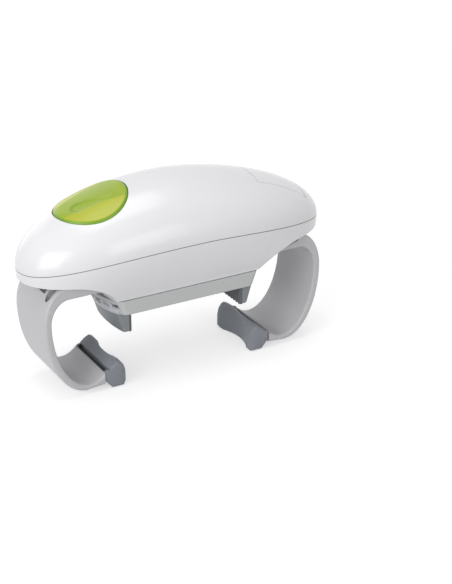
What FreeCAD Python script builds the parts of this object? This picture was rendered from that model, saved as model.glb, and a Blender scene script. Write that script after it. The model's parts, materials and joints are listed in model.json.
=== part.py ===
"""Electric jar opener, cordless, for one hand.

A long egg-shaped housing holds two cells, a motor and a gear train.  Under it, a carriage with two
sliding jaws grips and turns the lid, while two C-shaped arms on racks hold the jar still.

Frame, in millimetres: X along the housing (nose -X, tail +X), Y across, Z up.  The origin is on the
axis that the carriage turns about, on the underside of the pad that meets the lid's top.
"""
import FreeCAD, Part
import Sketcher
import math
import os
import re
from FreeCAD import Matrix, Placement, Rotation, Vector

# Driving dimensions, in millimetres unless the note says otherwise.
SIZES = {
    # Housing form
    "nose_reach": 98.8,  # turning axis to the tip of the nose
    "tail_reach": 99.8,  # turning axis to the tip of the tail
    "housing_width": 76,  # across both shells at the widest place
    "widest_x": 4,  # where the housing is widest
    "nose_plan_power": 3.4,  # fullness of the plan towards the nose
    "tail_plan_power": 2.5,  # fullness of the plan towards the tail
    "seam_height": 44.3,  # highest place of the joint between the shells
    "seam_peak_x": 5,  # where that joint is highest
    "nose_seam_height": 33.6,  # joint between the shells, at the nose
    "tail_seam_height": 34.2,  # joint between the shells, at the tail
    "nose_seam_power": 2.6,  # bend of the joint towards the nose
    "tail_seam_power": 1.6,  # bend of the joint towards the tail
    "crest_height": 77.2,  # top of the housing
    "crest_x": -4,  # where the housing is highest
    "nose_crest_power": 1.9,  # fullness of the side view towards the nose
    "tail_crest_power": 1.6,  # fullness of the side view towards the tail
    "flank_power": 1.6,  # bulge of the lower flanks
    "housing_wall": 2.2,  # thickness of both shells
    "seam_gap": 0.3,  # shadow gap between the shells
    "floor_thickness": 2.5,  # plate that carries the hub bearing
    "arch_radius": 36,  # hollow at each end of the skirt
    "hem_height": 28,  # underside of nose and tail, over the arms
    "rail_inner_x": 34,  # rails on the floor, which the arms' bars slide over
    "rail_length": 10,  # same
    "rail_y": 17,  # same, off the middle plane
    "rail_thickness": 2,  # same
    "rail_clearance": 0.3,  # rails to the bars
    "skirt_bulge": 3.4,  # how far the ends of the skirt bow out in plan
    # Carriage
    "tray_length": 106.4,  # carriage, along its middle at its top
    "tray_end_radius": 41.5,  # rounded ends of the carriage, in plan
    "tray_end_draft": 3.1,  # how far each end leans in towards the bottom
    "tray_width": 46.6,  # carriage
    "tray_bottom": 1.8,  # underside of the carriage
    "tray_height": 9.6,  # carriage
    "tray_corner": 4,  # upright corners of the carriage
    "tray_edge": 1.1,  # rounded lower edge of the carriage
    "tray_run_gap": 0.5,  # carriage to housing floor
    "hub_radius": 8,  # hub that turns in the floor
    "hub_clearance": 0.06,  # hub in its bearing
    "jaw_channel_width": 41.6,  # channel that the jaw sliders run in
    "jaw_channel_height": 6.9,  # same, up from the underside
    "jaw_slot_width": 38.2,  # narrower mouth of that channel, which the jaws hang through
    "jaw_lip_height": 2.1,  # lips beside that mouth, which carry the sliders
    "cover_length": 25,  # plate that closes the middle of the channel
    "pivot_radius": 2.4,  # post that carries the jaw pinion and the stop pad
    "stop_pad_radius": 12,  # pad that meets the lid's top
    # Lid jaws
    "jaw_grip_x": 36.6,  # gripping face at rest, for a lid of 73 mm
    "jaw_width": 37.6,  # jaw, across
    "jaw_drop": 13,  # jaw below the carriage
    "jaw_top_reach": 48.6,  # outer face of the jaw, at its top
    "jaw_top_bulge": 2.7,  # how far that face bows out there
    "jaw_low_reach": 44.1,  # outer face of the jaw, at its lower edge
    "jaw_low_bulge": 2.1,  # how far that face bows out there
    "jaw_corner": 2.4,  # upright outer corners of the jaw
    "jaw_hem": 1.2,  # rounded lower edge of the jaw
    "grip_thickness": 2,  # grip strip on the jaw's inner face
    "grip_ridges": 12,  # upright ridges on that strip
    "grip_ridge_depth": 0.8,  # same
    "slider_thickness": 1.6,  # slider plate
    "slider_clearance": 0.2,  # slider and jaw in the channel, each side
    "slider_inner_x": 26.6,  # inner end of the slider plate
    "flange_inner_x": 46.4,  # start of the block at the slider's outer end
    "flange_roof_gap": 0.4,  # that block to the roof of the channel
    "flange_pocket": 5.5,  # width of the pockets in that block's outer face
    "flange_pocket_pitch": 11.2,  # between neighbouring pockets, degrees
    "flange_pocket_depth": 2.6,  # same, at their top
    "flange_pocket_drop": 3.2,  # same, from top to bottom
    "jaw_rack_tip_x": 10,  # how far the jaw rack reaches past the axis
    "jaw_rack_back": 11,  # back of the jaw rack, off the axis
    "jaw_module": 0.8,  # teeth of jaw pinion and jaw racks
    "jaw_pinion_teeth": 16,  # jaw pinion
    "jaw_screw_x": 40.5,  # screws between slider and jaw
    "jaw_screw_y": 15,  # same, off the middle plane
    # Jar arms
    "arm_width": 43.2,  # arm, across
    "arm_reach": 93,  # turning axis to the outside of the arm
    "arm_wall": 4.5,  # arm, at its widest place
    "arm_belly_z": 4.5,  # height of the arm's widest place
    "arm_shoulder": 15,  # length of the upper outer bend
    "arm_inner_shoulder": 11.5,  # length of the upper inner bend
    "arm_foot": 25,  # length of the lower outer bend
    "arm_inner_foot": 22.5,  # length of the lower inner bend
    "arm_sole_z": -41.3,  # underside of the arm
    "arm_sole_wall": 3.5,  # arm, at its underside
    "arm_tip_x": 56.5,  # end face of the arm
    "arm_tip_top_z": -33.2,  # upper edge of that face
    "arm_tip_rise": 0.9,  # lower edge of that face over the underside
    "arm_edge": 1.4,  # rounded edges of the arm
    "arm_floor": 1.8,  # bottom of the hollows in the arm's top
    "arm_hollow_half": 11,  # middle hollow, half across
    "arm_hollow_end": 5.2,  # end of the middle hollow, in from the outside of the arm
    "arm_groove_inner": 13.4,  # side grooves, off the middle plane
    "arm_groove_width": 5.6,  # side grooves
    "arm_groove_end": 3.4,  # end of the side grooves, in from the outside of the arm
    "bar_bottom_z": 19.3,  # underside of the sliding bar
    "bar_run_gap": 0.5,  # sliding bar to what is over and under it
    "bar_inner_x": 54,  # inner end of the sliding bar
    "arm_rack_tip_x": 11,  # how far the arm rack reaches past the axis
    "arm_rack_back": 15,  # back of the arm rack, off the axis
    "arm_rack_height": 5,  # arm rack and arm pinion
    "arm_module": 1,  # teeth of arm pinion and arm racks
    "arm_pinion_teeth": 18,  # arm pinion
    "pad_top_z": -27.4,  # top of the grip pad
    "pad_bottom_z": -44.2,  # bottom of the grip pad, which the opener stands on
    "pad_lobe_x": 43.5,  # inner end of the pad's lobes
    "pad_valley_x": 48.5,  # middle of the pad's hollow
    "pad_hollow_radius": 43,  # hollow of the pad, in plan
    "pad_slot_width": 2,  # slot between pad and arm
    "pad_slot_depth": 3,  # same, below the arm's upper edge
    "pad_corner": 4.5,  # upright inner corners of the pad
    "pad_saddle": 1.6,  # how far the pad's top dips in the middle
    # Button
    "button_x": -53,  # middle of the button
    "button_radius": 22.6,  # button
    "button_gap": 0.35,  # button in its hole
    "button_proud": 0.8,  # button over the shell
    "button_thickness": 2.4,  # button's cap
    "button_skirt": 5,  # button's skirt below the shell's face
    "button_sag": 7,  # how far that face falls away at the button's edge
    "plunger_radius": 3,  # stem under the button
    "plunger_gap": 1.7,  # stem to switch at rest
    # Gear train
    "gear_backlash": 0.16,  # thinning of every tooth, in modules
    "final_module": 1,  # carriage gear and its pinion
    "carriage_gear_teeth": 40,  # gear on the carriage's hub
    "third_pinion_teeth": 12,  # drives the carriage gear
    "third_module": 0.8,  # third wheel and second pinion
    "third_wheel_teeth": 32,  # third wheel
    "second_pinion_teeth": 12,  # drives the third wheel
    "second_module": 0.6,  # second wheel and first pinion
    "second_wheel_teeth": 36,  # second wheel
    "first_pinion_teeth": 12,  # drives the second wheel
    "first_module": 0.5,  # first wheel and motor pinion
    "first_wheel_teeth": 40,  # first wheel
    "motor_pinion_teeth": 10,  # pinion on the motor's shaft
    "wheel_thickness": 2.6,  # wheels of the compound gears
    "gear_step": 0.4,  # height between neighbouring wheels
    "final_face": 3.6,  # carriage gear
    "axle_radius": 1.2,  # fixed axles of the compound gears
    "hub_axle_radius": 2,  # axle of the arm pinion
    "axle_clearance": 0.05,  # gears on their axles
    "sleeve_radius": 2.6,  # sleeves of the compound gears
    "plate_thickness": 1.8,  # both gear plates
    "second_turn": 40,  # direction from third to second axle, degrees
    "first_turn": -75,  # direction from second to first axle, degrees
    "motor_turn": 10,  # direction from first axle to motor, degrees
    "motor_radius": 11.9,  # motor can
    "motor_length": 25,  # motor can
    "motor_boss_radius": 3.2,  # boss on the motor's front
    "plate_front_x": 62,  # lower gear plate, towards the nose
    "plate_rear_x": 36,  # lower gear plate, towards the tail
    "plate_half_width": 24,  # lower gear plate
    "upper_front_x": 40,  # upper gear plate, towards the nose
    "upper_rear_x": 20,  # upper gear plate, towards the tail
    "upper_half_width": 22,  # upper gear plate
    # Supply and control
    "cell_radius": 7.1,  # AA cell
    "cell_length": 50,  # AA cell with its cap
    "cell_tail_room": 16.8,  # rear end of the cells to the tip of the tail
    "cell_height": 42,  # axis of the cells
    "cell_spacing": 15.4,  # between the axes of the cells
    "tub_wall": 1.2,  # walls of the battery tub
    "tub_play": 1.2,  # room at each end of the cells for the contacts
    "contact_thickness": 0.4,  # contact plates of the cells
    "contact_width": 9,  # contact plates of the cells
    "door_front_x": 51,  # front edge of the battery door
    "door_thickness": 1.6,  # battery door
    "door_gap": 0.35,  # battery door in its opening
    "door_ledge": 1.6,  # thickness of the ledge that the door lies on
    "door_ledge_width": 0.8,  # how far that ledge reaches under the door
    "door_ledge_root": 2,  # how far it reaches under the shell
    "board_x": -51,  # middle of the control board
    "board_pillar_x": 8.5,  # pillars of the board, off its middle
    "board_pillar_y": 11,  # same, off the middle plane
    "board_length": 24,  # control board
    "board_width": 28,  # control board
    "board_thickness": 1.6,  # control board
    "board_height": 47,  # underside of the control board
    "switch_height": 3.4,  # push switch on the board
    "switch_side": 6,  # same, its square housing
    "switch_knob_radius": 1.7,  # same, its knob
    # Fasteners
    "post_x": 28,  # posts that carry the lower gear plate
    "post_y": 20,  # same, off the middle plane
    "post_radius": 3,  # posts, spacers and pillars
    "screw_radius": 1.1,  # all screws
    "screw_head_radius": 2.2,  # all screws
    "screw_head_height": 1.4,  # all screws
    "screw_clearance": 0.15,  # screws in the parts that they pass through
    "head_clearance": 0.3,  # screw heads in their recesses
    "head_recess": 2,  # depth of the recesses under the lower shell
    "thread_depth": 7,  # shell screws in the upper shell's bosses
    "spacer_rear_x": 15,  # spacers between the gear plates, rear pair
    "spacer_front_x": -36,  # same, front pair
    "spacer_y": 18,  # same, off the middle plane
    "boss_x": 90,  # bosses that join the shells
    "boss_y": 8,  # same, off the middle plane
    "boss_radius": 3.6,  # bosses that join the shells
}

# Places that follow from the sizes above, as formulas in the same sheet.
DERIVED = (
    ("tray_top", "=tray_bottom + tray_height"),
    ("floor_bottom", "=tray_top + tray_run_gap"),
    ("floor_top", "=floor_bottom + floor_thickness"),
    ("bar_top_z", "=hem_height - bar_run_gap"),
    ("lower_plate_z", "=bar_top_z + bar_run_gap"),
    ("lower_plate_top", "=lower_plate_z + plate_thickness"),
    ("final_gear_z", "=floor_top + 0.5"),
    ("third_wheel_z", "=lower_plate_top + gear_step"),
    ("second_wheel_z", "=third_wheel_z + wheel_thickness + gear_step"),
    ("first_wheel_z", "=second_wheel_z + wheel_thickness + gear_step"),
    ("upper_plate_z", "=first_wheel_z + wheel_thickness + gear_step"),
    ("upper_plate_top", "=upper_plate_z + plate_thickness"),
    ("jaw_top", "=tray_bottom"),
    ("jaw_low", "=jaw_top - jaw_drop"),
    ("slider_low", "=tray_bottom + jaw_lip_height + slider_clearance"),
    ("slider_top", "=slider_low + slider_thickness"),
    ("flange_top", "=tray_bottom + jaw_channel_height - flange_roof_gap"),
    ("jaw_rack_z", "=slider_top + 0.2"),
    ("jaw_rack_height", "=flange_top - jaw_rack_z - 0.1"),
    ("arm_rack_z", "=bar_bottom_z + 1.1"),
    ("arm_pinion_pitch", "=arm_module * arm_pinion_teeth / 2"),
    ("jaw_pinion_pitch", "=jaw_module * jaw_pinion_teeth / 2"),
    ("third_axle_x", "=-final_module * (carriage_gear_teeth + third_pinion_teeth) / 2"),
    ("cell_rear_x", "=tail_reach - cell_tail_room"),
    ("cell_front_x", "=cell_rear_x - cell_length"),
    ("tub_half_width", "=cell_spacing / 2 + cell_radius + tub_wall + 0.4"),
    ("tub_front_x", "=cell_front_x - tub_play - tub_wall"),
    ("tub_rear_x", "=cell_rear_x + tub_play + tub_wall"),
    ("tub_bottom_z", "=cell_height - cell_radius - tub_wall - 0.2"),
    ("arch_reach", "=tray_length / 2 + 24.6"),
    ("switch_top", "=board_height + board_thickness + switch_height"),
)

doc = FreeCAD.newDocument("JarOpener")
sheet = doc.addObject("Spreadsheet::Sheet", "Sizes")
NAMES = set()
nodes = {}


def fill_sheet():
    """Writes every size and every derived place into the sheet, each with its alias."""
    rows = [(name, str(value)) for name, value in SIZES.items()] + list(DERIVED)
    for row, (name, content) in enumerate(rows, start=1):
        sheet.set(f"A{row}", name)
        sheet.set(f"B{row}", content)
        sheet.setAlias(f"B{row}", name)
        NAMES.add(name)
    doc.recompute()


def size(name):
    """The present value of a size, in millimetres or as a plain number."""
    return float(sheet.get(name))


def bound(formula):
    """A formula on size names, written as an expression on the sheet."""
    def cell(match):
        word = match.group(0)
        return "Sizes." + word if word in NAMES else word
    return re.sub(r"[a-z][a-z_]*", cell, formula)


# ---------------------------------------------------------------- document objects

def primitive(kind, name, formulas):
    """A Part primitive whose properties follow formulas on the sheet."""
    thing = doc.addObject(kind, name)
    for prop, formula in formulas.items():
        thing.setExpression(prop, bound(formula))
    return thing


def box(name, x, y, z, length, width, height):
    """A box by its lowest corner and its three lengths."""
    return primitive("Part::Box", name, {
        "Placement.Base.x": x, "Placement.Base.y": y, "Placement.Base.z": z,
        "Length": length, "Width": width, "Height": height})


def rod(name, x, y, z, radius, height):
    """An upright cylinder by the middle of its lower end."""
    return primitive("Part::Cylinder", name, {
        "Placement.Base.x": x, "Placement.Base.y": y, "Placement.Base.z": z,
        "Radius": radius, "Height": height})


def union(name, *things):
    """Several objects joined into one."""
    joined = doc.addObject("Part::MultiFuse", name)
    joined.Shapes = list(things)
    joined.Refine = True
    return joined


def cut(name, base, *tools):
    """A base with one or more tools taken away."""
    removed = tools[0] if len(tools) == 1 else union(name + "_tools", *tools)
    result = doc.addObject("Part::Cut", name)
    result.Base = base
    result.Tool = removed
    result.Refine = True
    return result


def group(name, *things):
    """Several separate solids under one name."""
    together = doc.addObject("Part::Compound", name)
    together.Links = list(things)
    return together


def feature(name, shape, placement=None):
    """A piece whose shape is worked out in code."""
    thing = doc.addObject("Part::Feature", name)
    thing.Shape = shape
    if placement is not None:
        thing.Placement = placement
    return thing


def node(label, thing):
    """Keeps an object as one finished sub-part, under the name of its file."""
    thing.Label = label
    nodes[label] = thing
    return thing


# ---------------------------------------------------------------- bodies and sketches

def body(name):
    return doc.addObject("PartDesign::Body", name)


def sketch_on(owner, role, offset="0"):
    """A sketch on one of a body's own origin planes, moved along its normal."""
    sketch = owner.newObject("Sketcher::SketchObject", owner.Name + "_sketch")
    plane = next(item for item in owner.Origin.OriginFeatures if item.Role == role)
    sketch.AttachmentSupport = [(plane, "")]
    sketch.MapMode = "FlatFace"
    if offset != "0":
        sketch.setExpression(".AttachmentOffset.Base.z", bound(offset))
    return sketch


def hold(sketch, kind, place, formula, first, point):
    """Ties one coordinate, or a radius, of a sketch to a formula."""
    if kind == "Radius":
        index = sketch.addConstraint(Sketcher.Constraint(kind, first, place))
    else:
        index = sketch.addConstraint(Sketcher.Constraint(kind, -1, 1, first, point, place))
    if formula != "0":
        sketch.setExpression(f"Constraints[{index}]", bound(formula))


def polygon(sketch, corners):
    """A closed outline of straight lines, each corner by two formulas."""
    count = len(corners)
    first = sketch.GeometryCount
    for index in range(count):
        angle = 2 * math.pi * index / count
        step = 2 * math.pi * (index + 1) / count
        start = Vector(math.cos(angle), math.sin(angle), 0)
        stop = Vector(math.cos(step), math.sin(step), 0)
        sketch.addGeometry(Part.LineSegment(start, stop), False)
    for index in range(count):
        follow = first + (index + 1) % count
        sketch.addConstraint(Sketcher.Constraint("Coincident", first + index, 2, follow, 1))
    for index, (across, along) in enumerate(corners):
        hold(sketch, "DistanceX", 0.0, across, first + index, 1)
        hold(sketch, "DistanceY", 0.0, along, first + index, 1)


def rectangle(sketch, x_low, y_low, x_high, y_high):
    polygon(sketch, ((x_low, y_low), (x_high, y_low), (x_high, y_high), (x_low, y_high)))


def circle(sketch, x, y, radius):
    """A circle by its middle and radius, each a formula."""
    index = sketch.GeometryCount
    sketch.addGeometry(Part.Circle(Vector(0, 0, 0), Vector(0, 0, 1), 1), False)
    hold(sketch, "DistanceX", 0.0, x, index, 3)
    hold(sketch, "DistanceY", 0.0, y, index, 3)
    hold(sketch, "Radius", 1.0, radius, index, 0)


def pad(owner, sketch, length):
    """Extrudes a sketch along its normal."""
    step = owner.newObject("PartDesign::Pad", owner.Name + "_pad")
    step.Profile = sketch
    step.setExpression("Length", bound(length))
    return step


def pocket(owner, sketch, length, reverse=True):
    """Cuts a sketch out of a body, along its normal when reverse is set."""
    step = owner.newObject("PartDesign::Pocket", owner.Name + "_pocket")
    step.Profile = sketch
    step.Reversed = reverse
    step.setExpression("Length", bound(length))
    return step


def revolve(owner, sketch):
    """Turns a sketch once round its own vertical axis."""
    step = owner.newObject("PartDesign::Revolution", owner.Name + "_turned")
    step.Profile = sketch
    step.ReferenceAxis = (sketch, ["V_Axis"])
    step.Angle = 360
    return step


# ---------------------------------------------------------------- housing form

NOSE, TAIL = -1, 1
STATION_ANGLES = (85, 76, 66, 55, 43, 30, 15)


def tip_x(side, inset):
    """The end of the housing on one side, drawn in by the inset."""
    return side * ((size("nose_reach") if side == NOSE else size("tail_reach")) - inset)


def share(x, middle, end, power):
    """How far x is from the middle to the end, raised to a power."""
    return min(1.0, max(0.0, (x - middle) / (end - middle))) ** power


def half_width(x, inset=0.0):
    """Half the housing's width: a superellipse with its own power towards each tip."""
    side = NOSE if x < size("widest_x") else TAIL
    power = size("nose_plan_power" if side == NOSE else "tail_plan_power")
    part = share(x, size("widest_x"), tip_x(side, inset), power)
    return (size("housing_width") / 2 - inset) * math.sqrt(1 - part)


def seam(x):
    """Height of the joint between the shells."""
    if x < size("seam_peak_x"):
        part = share(x, size("seam_peak_x"), tip_x(NOSE, 0), size("nose_seam_power"))
        return size("seam_height") - (size("seam_height") - size("nose_seam_height")) * part
    part = share(x, size("seam_peak_x"), tip_x(TAIL, 0), size("tail_seam_power"))
    return size("seam_height") - (size("seam_height") - size("tail_seam_height")) * part


def crest(x, inset=0.0):
    """Height of the top line: a superellipse that ends on the joint at each tip."""
    side = NOSE if x < size("crest_x") else TAIL
    end = tip_x(side, inset)
    power = size("nose_crest_power" if side == NOSE else "tail_crest_power")
    part = share(x, size("crest_x"), end, power)
    return seam(end) + (size("crest_height") - inset - seam(end)) * math.sqrt(1 - part)


def stations(inset):
    """Places along X, closer together towards the tips."""
    middle = size("widest_x")
    nose = [middle + (tip_x(NOSE, inset) - middle) * math.sin(math.radians(a)) for a in STATION_ANGLES]
    tail = [middle + (tip_x(TAIL, inset) - middle) * math.sin(math.radians(a)) for a in STATION_ANGLES]
    return nose + [middle] + tail[::-1]


def spline(points):
    curve = Part.BSplineCurve()
    curve.interpolate(points)
    return curve.toShape()


def upper_wire(x, inset, lift):
    """Half an ellipse over the joint, closed at the height of the joint."""
    base = seam(x) + lift
    wide, tall = half_width(x, inset), crest(x, inset) - seam(x)
    angles = [math.pi * k / 8 for k in range(9)]
    points = [Vector(x, -wide * math.cos(a), base + (tall - lift) * math.sin(a)) for a in angles]
    return Part.Wire([spline(points), Part.LineSegment(points[-1], points[0]).toShape()])


def lower_wire(x, inset, lift):
    """Two bulging flanks from the joint down to a flat base."""
    end = tip_x(NOSE if x < 0 else TAIL, inset)
    top = seam(x) + lift
    base = size("floor_bottom") + (size("floor_thickness") if inset else 0)
    low = top - (top - base) * math.sqrt(1 - (x / end) ** 10)
    wide = half_width(x, inset)
    foot = min(wide, (size("tray_width") / 2 - inset) * math.sqrt(1 - abs(x / end) ** 5))
    points = []
    for k in range(6):
        v = k / 5
        points.append(Vector(x, foot + (wide - foot) * (1 - v ** size("flank_power")), top - v * (top - low)))
    mirror = [Vector(p.x, -p.y, p.z) for p in points]
    return Part.Wire([spline(points), Part.LineSegment(points[-1], mirror[-1]).toShape(),
                      spline(mirror[::-1]), Part.LineSegment(mirror[0], points[0]).toShape()])


def housing_form(wire, inset, lift):
    """A closed form through the sections, from the tip of the nose to the tip of the tail."""
    ends = [tip_x(NOSE, inset), tip_x(TAIL, inset)]
    tips = [Part.Vertex(Vector(x, 0, seam(x) + lift)) for x in ends]
    sections = [wire(x, inset, lift) for x in stations(inset)]
    return Part.makeLoft([tips[0]] + sections + [tips[1]], True, False)


def block(x_low, x_high, y_low, y_high, z_low, z_high):
    return Part.makeBox(x_high - x_low, y_high - y_low, z_high - z_low, Vector(x_low, y_low, z_low))


def upright(x, y, z_low, z_high, radius):
    return Part.makeCylinder(radius, z_high - z_low, Vector(x, y, z_low))


def moved_along(shape, direction, distance):
    """A copy of a shape, moved along a direction."""
    copy = shape.copy()
    copy.translate(direction * distance)
    return copy


def arch(side, thickness):
    """The space under one end of the housing, over the arm: a hollow that runs out level.

    Its outline is the same in every section; towards the middle plane it stands further out.
    """
    reach, hem, radius = size("arch_reach"), size("hem_height") + thickness, size("arch_radius") + thickness
    centre = hem - radius
    far, deep, wide = size("tail_reach") * 1.2, size("arm_sole_z"), size("housing_width")
    turn = math.acos((size("floor_bottom") - 1 - centre) / radius)
    low = Vector(reach - radius * math.sin(turn), 0, centre + radius * math.cos(turn))
    mid = Vector(reach - radius * math.sin(turn / 2), 0, centre + radius * math.cos(turn / 2))
    top = Vector(reach, 0, hem)
    bulge = size("skirt_bulge")
    corners = [top, Vector(reach + bulge, 0, hem), Vector(reach + bulge, 0, deep),
               Vector(low.x, 0, deep), low]
    edges = [Part.Arc(low, mid, top).toShape()]
    edges += [Part.LineSegment(a, b).toShape() for a, b in zip(corners, corners[1:])]
    outline = Part.Wire(edges)
    half = size("tray_width") / 2
    places = [-wide] + [half * k / 5 for k in range(-5, 6)] + [wide]
    sections = []
    for y in places:
        bow = max(0.0, 1 - (y / half) ** 2) * bulge
        sections.append(moved_along(outline, Vector(bow, y, 0), 1))
    solid = Part.makeLoft(sections, True, True).fuse(block(reach + bulge, far, -wide, wide, deep, hem))
    if side == NOSE:
        solid.rotate(Vector(0, 0, 0), Vector(0, 0, 1), 180)
    return solid


def arm_slot(side):
    """The slot that one arm's bar slides in."""
    gap = size("bar_run_gap")
    half = size("arm_width") / 2 + gap
    slot = block(size("rail_inner_x") - 4, size("tail_reach") * 1.2, -half, half,
                 size("bar_bottom_z") - gap, size("hem_height"))
    if side == NOSE:
        slot.rotate(Vector(0, 0, 0), Vector(0, 0, 1), 180)
    return slot


def button_frame():
    """Placement at the middle of the button, its Z along the shell's normal there."""
    x, step = size("button_x"), 0.5
    slope = (crest(x + step) - crest(x - step)) / (2 * step)
    return Placement(Vector(x, 0, crest(x)), Rotation(Vector(0, 1, 0), -math.degrees(math.atan(slope))))


def button_drum(radius, low, high):
    """A round drum on the button's own axis, between two depths."""
    drum = Part.makeCylinder(radius, high - low, Vector(0, 0, low))
    drum.Placement = button_frame()
    return drum


def four(x, y):
    """The four places of a rectangular pattern about the axis."""
    return [(sx * x, sy * y) for sx in (1, -1) for sy in (1, -1)]


def door_block(gap):
    """The upright prism of the battery door, widened by a gap."""
    lip = size("tub_wall") / 2
    half = size("tub_half_width") - lip + gap
    return block(size("door_front_x") - gap, size("tub_rear_x") - lip + gap, -half, half,
                 size("cell_height"), size("crest_height") * 1.1)


def make_door_ledge():
    """The frame inside the upper shell that the battery door lies on, rooted in the shell's wall."""
    upper = housing_form(upper_wire, size("door_thickness") + 0.1, -1)
    lower = housing_form(upper_wire, size("housing_wall") + size("door_ledge"), -1)
    ring = door_block(size("door_ledge_root")).cut(door_block(-size("door_ledge_width")))
    return upper.cut(lower).common(ring)


def make_top_shell(outer, inner):
    """The white upper shell, with the openings for button and battery door and four bosses."""
    shell = outer.cut(inner)
    reach = size("button_radius") + size("button_gap")
    shell = shell.cut(button_drum(reach, -15, 15)).cut(door_block(size("door_gap")))
    shell = shell.fuse(make_door_ledge())
    for x, y in four(size("boss_x"), size("boss_y")):
        bottom = seam(x) + size("seam_gap")
        boss = upright(x, y, bottom, size("crest_height"), size("boss_radius"))
        boss = boss.cut(upright(x, y, bottom, bottom + size("thread_depth") + 1, size("screw_radius")))
        shell = shell.fuse(boss.common(inner))
    return shell.removeSplitter()


def make_bottom_shell():
    """The white lower shell: flanks, skirt, floor with the hub's bearing, posts, rails and bosses."""
    wall = size("housing_wall")
    form = housing_form(lower_wire, 0, -size("seam_gap") / 2)
    room = housing_form(lower_wire, wall, 2)
    for side in (NOSE, TAIL):
        form = form.cut(arch(side, 0))
        room = room.cut(arch(side, wall))
    shell = form.cut(room)
    for side in (NOSE, TAIL):
        shell = shell.cut(arm_slot(side))
    floor = size("floor_top")
    for x, y in four(size("post_x"), size("post_y")):
        post = upright(x, y, floor - 1, size("lower_plate_z"), size("post_radius"))
        shell = shell.fuse(post.cut(upright(x, y, floor + 1, size("lower_plate_z"), size("screw_radius"))))
    for x, y in four(size("boss_x"), size("boss_y")):
        top = seam(x) + size("seam_gap") - 0.05
        boss = upright(x, y, size("hem_height"), top, size("boss_radius"))
        shell = shell.fuse(boss)
        below, seat = size("hem_height") - 1, size("hem_height") + size("head_recess")
        shell = shell.cut(upright(x, y, below, top, size("screw_radius") + size("screw_clearance")))
        shell = shell.cut(upright(x, y, below, seat, size("screw_head_radius") + size("head_clearance")))
    length, thick = size("rail_length"), size("rail_thickness")
    for x, y in four(size("rail_inner_x") + length / 2, size("rail_y")):
        rail = block(x - length / 2, x + length / 2, y - thick / 2, y + thick / 2,
                     floor - 0.5, size("bar_bottom_z") - size("rail_clearance"))
        shell = shell.fuse(rail)
    bearing = size("hub_radius") + size("hub_clearance")
    shell = shell.cut(upright(0, 0, size("floor_bottom") - 1, floor + 1, bearing))
    axle = upright(size("third_axle_x"), 0, floor - 1, floor + 1, size("axle_radius"))
    return shell.cut(axle).removeSplitter()


def make_button(outer):
    """The round button: a cap that follows the shell, a skirt and a stem."""
    frame, radius = button_frame(), size("button_radius")
    normal = frame.Rotation.multVec(Vector(0, 0, 1))
    raised = moved_along(outer, normal, size("button_proud"))
    under = moved_along(outer, normal, size("button_proud") - size("button_thickness"))
    low = -size("button_sag") - size("button_skirt")
    cap = raised.cut(under).common(button_drum(radius, 2 * low, 15))
    skirt = button_drum(radius, low, 15).cut(button_drum(radius - 1.6, low, 15)).common(under)
    depth = frame.Base.z - size("switch_top") - size("plunger_gap")
    stem = button_drum(size("plunger_radius"), -depth - 5, 15).common(under)
    stop = size("switch_top") + size("plunger_gap")
    stem = stem.cut(block(frame.Base.x - depth, frame.Base.x + depth, -depth, depth, stop - depth, stop))
    return cap.fuse([skirt, stem]).removeSplitter()


# ---------------------------------------------------------------- arms

def quarter(centre_x, centre_z, wide, tall):
    """A quarter of an ellipse from straight above or below its middle to straight beside it."""
    ellipse = Part.Ellipse(Vector(centre_x, 0, centre_z + tall), Vector(centre_x + wide, 0, centre_z),
                           Vector(centre_x, 0, centre_z))
    return Part.ArcOfEllipse(ellipse, 0, math.pi / 2).toShape()


def line(a, b):
    return Part.LineSegment(Vector(a[0], 0, a[1]), Vector(b[0], 0, b[1])).toShape()


def arm_profile():
    """Side outline of an arm: bar, shoulder, belly, foot and thick tip."""
    reach, inner = size("arm_reach"), size("arm_reach") - size("arm_wall")
    belly = size("arm_belly_z")
    top, low = size("bar_top_z"), size("bar_bottom_z")
    sole, sole_in = size("arm_sole_z"), size("arm_sole_z") + size("arm_sole_wall")
    tip, start = size("arm_tip_x"), size("bar_inner_x")
    outer_top, outer_low = reach - size("arm_shoulder"), reach - size("arm_foot")
    inner_top, inner_low = inner - size("arm_inner_shoulder"), inner - size("arm_inner_foot")
    slope = Part.BezierCurve()
    slope.setPoles([Vector(tip, 0, size("arm_tip_top_z")), Vector((tip + inner_low) / 2, 0, sole_in),
                    Vector(inner_low, 0, sole_in)])
    ramp = slope.toShape()
    edges = [
        line((start, top), (outer_top, top)),
        quarter(outer_top, belly, size("arm_shoulder"), top - belly),
        quarter(outer_low, belly, size("arm_foot"), sole - belly),
        line((outer_low, sole), (tip, sole + size("arm_tip_rise"))),
        line((tip, sole + size("arm_tip_rise")), (tip, size("arm_tip_top_z"))),
        ramp,
        quarter(inner_low, belly, size("arm_inner_foot"), sole_in - belly),
        quarter(inner_top, belly, size("arm_inner_shoulder"), low - belly),
        line((inner_top, low), (start, low)),
        line((start, low), (start, top)),
    ]
    return Part.Wire(Part.__sortEdges__(edges))


def across(wire, half):
    """A side outline given its width, both ways from the middle plane."""
    solid = Part.Face(wire).extrude(Vector(0, 2 * half, 0))
    solid.translate(Vector(0, -half, 0))
    return solid


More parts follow.
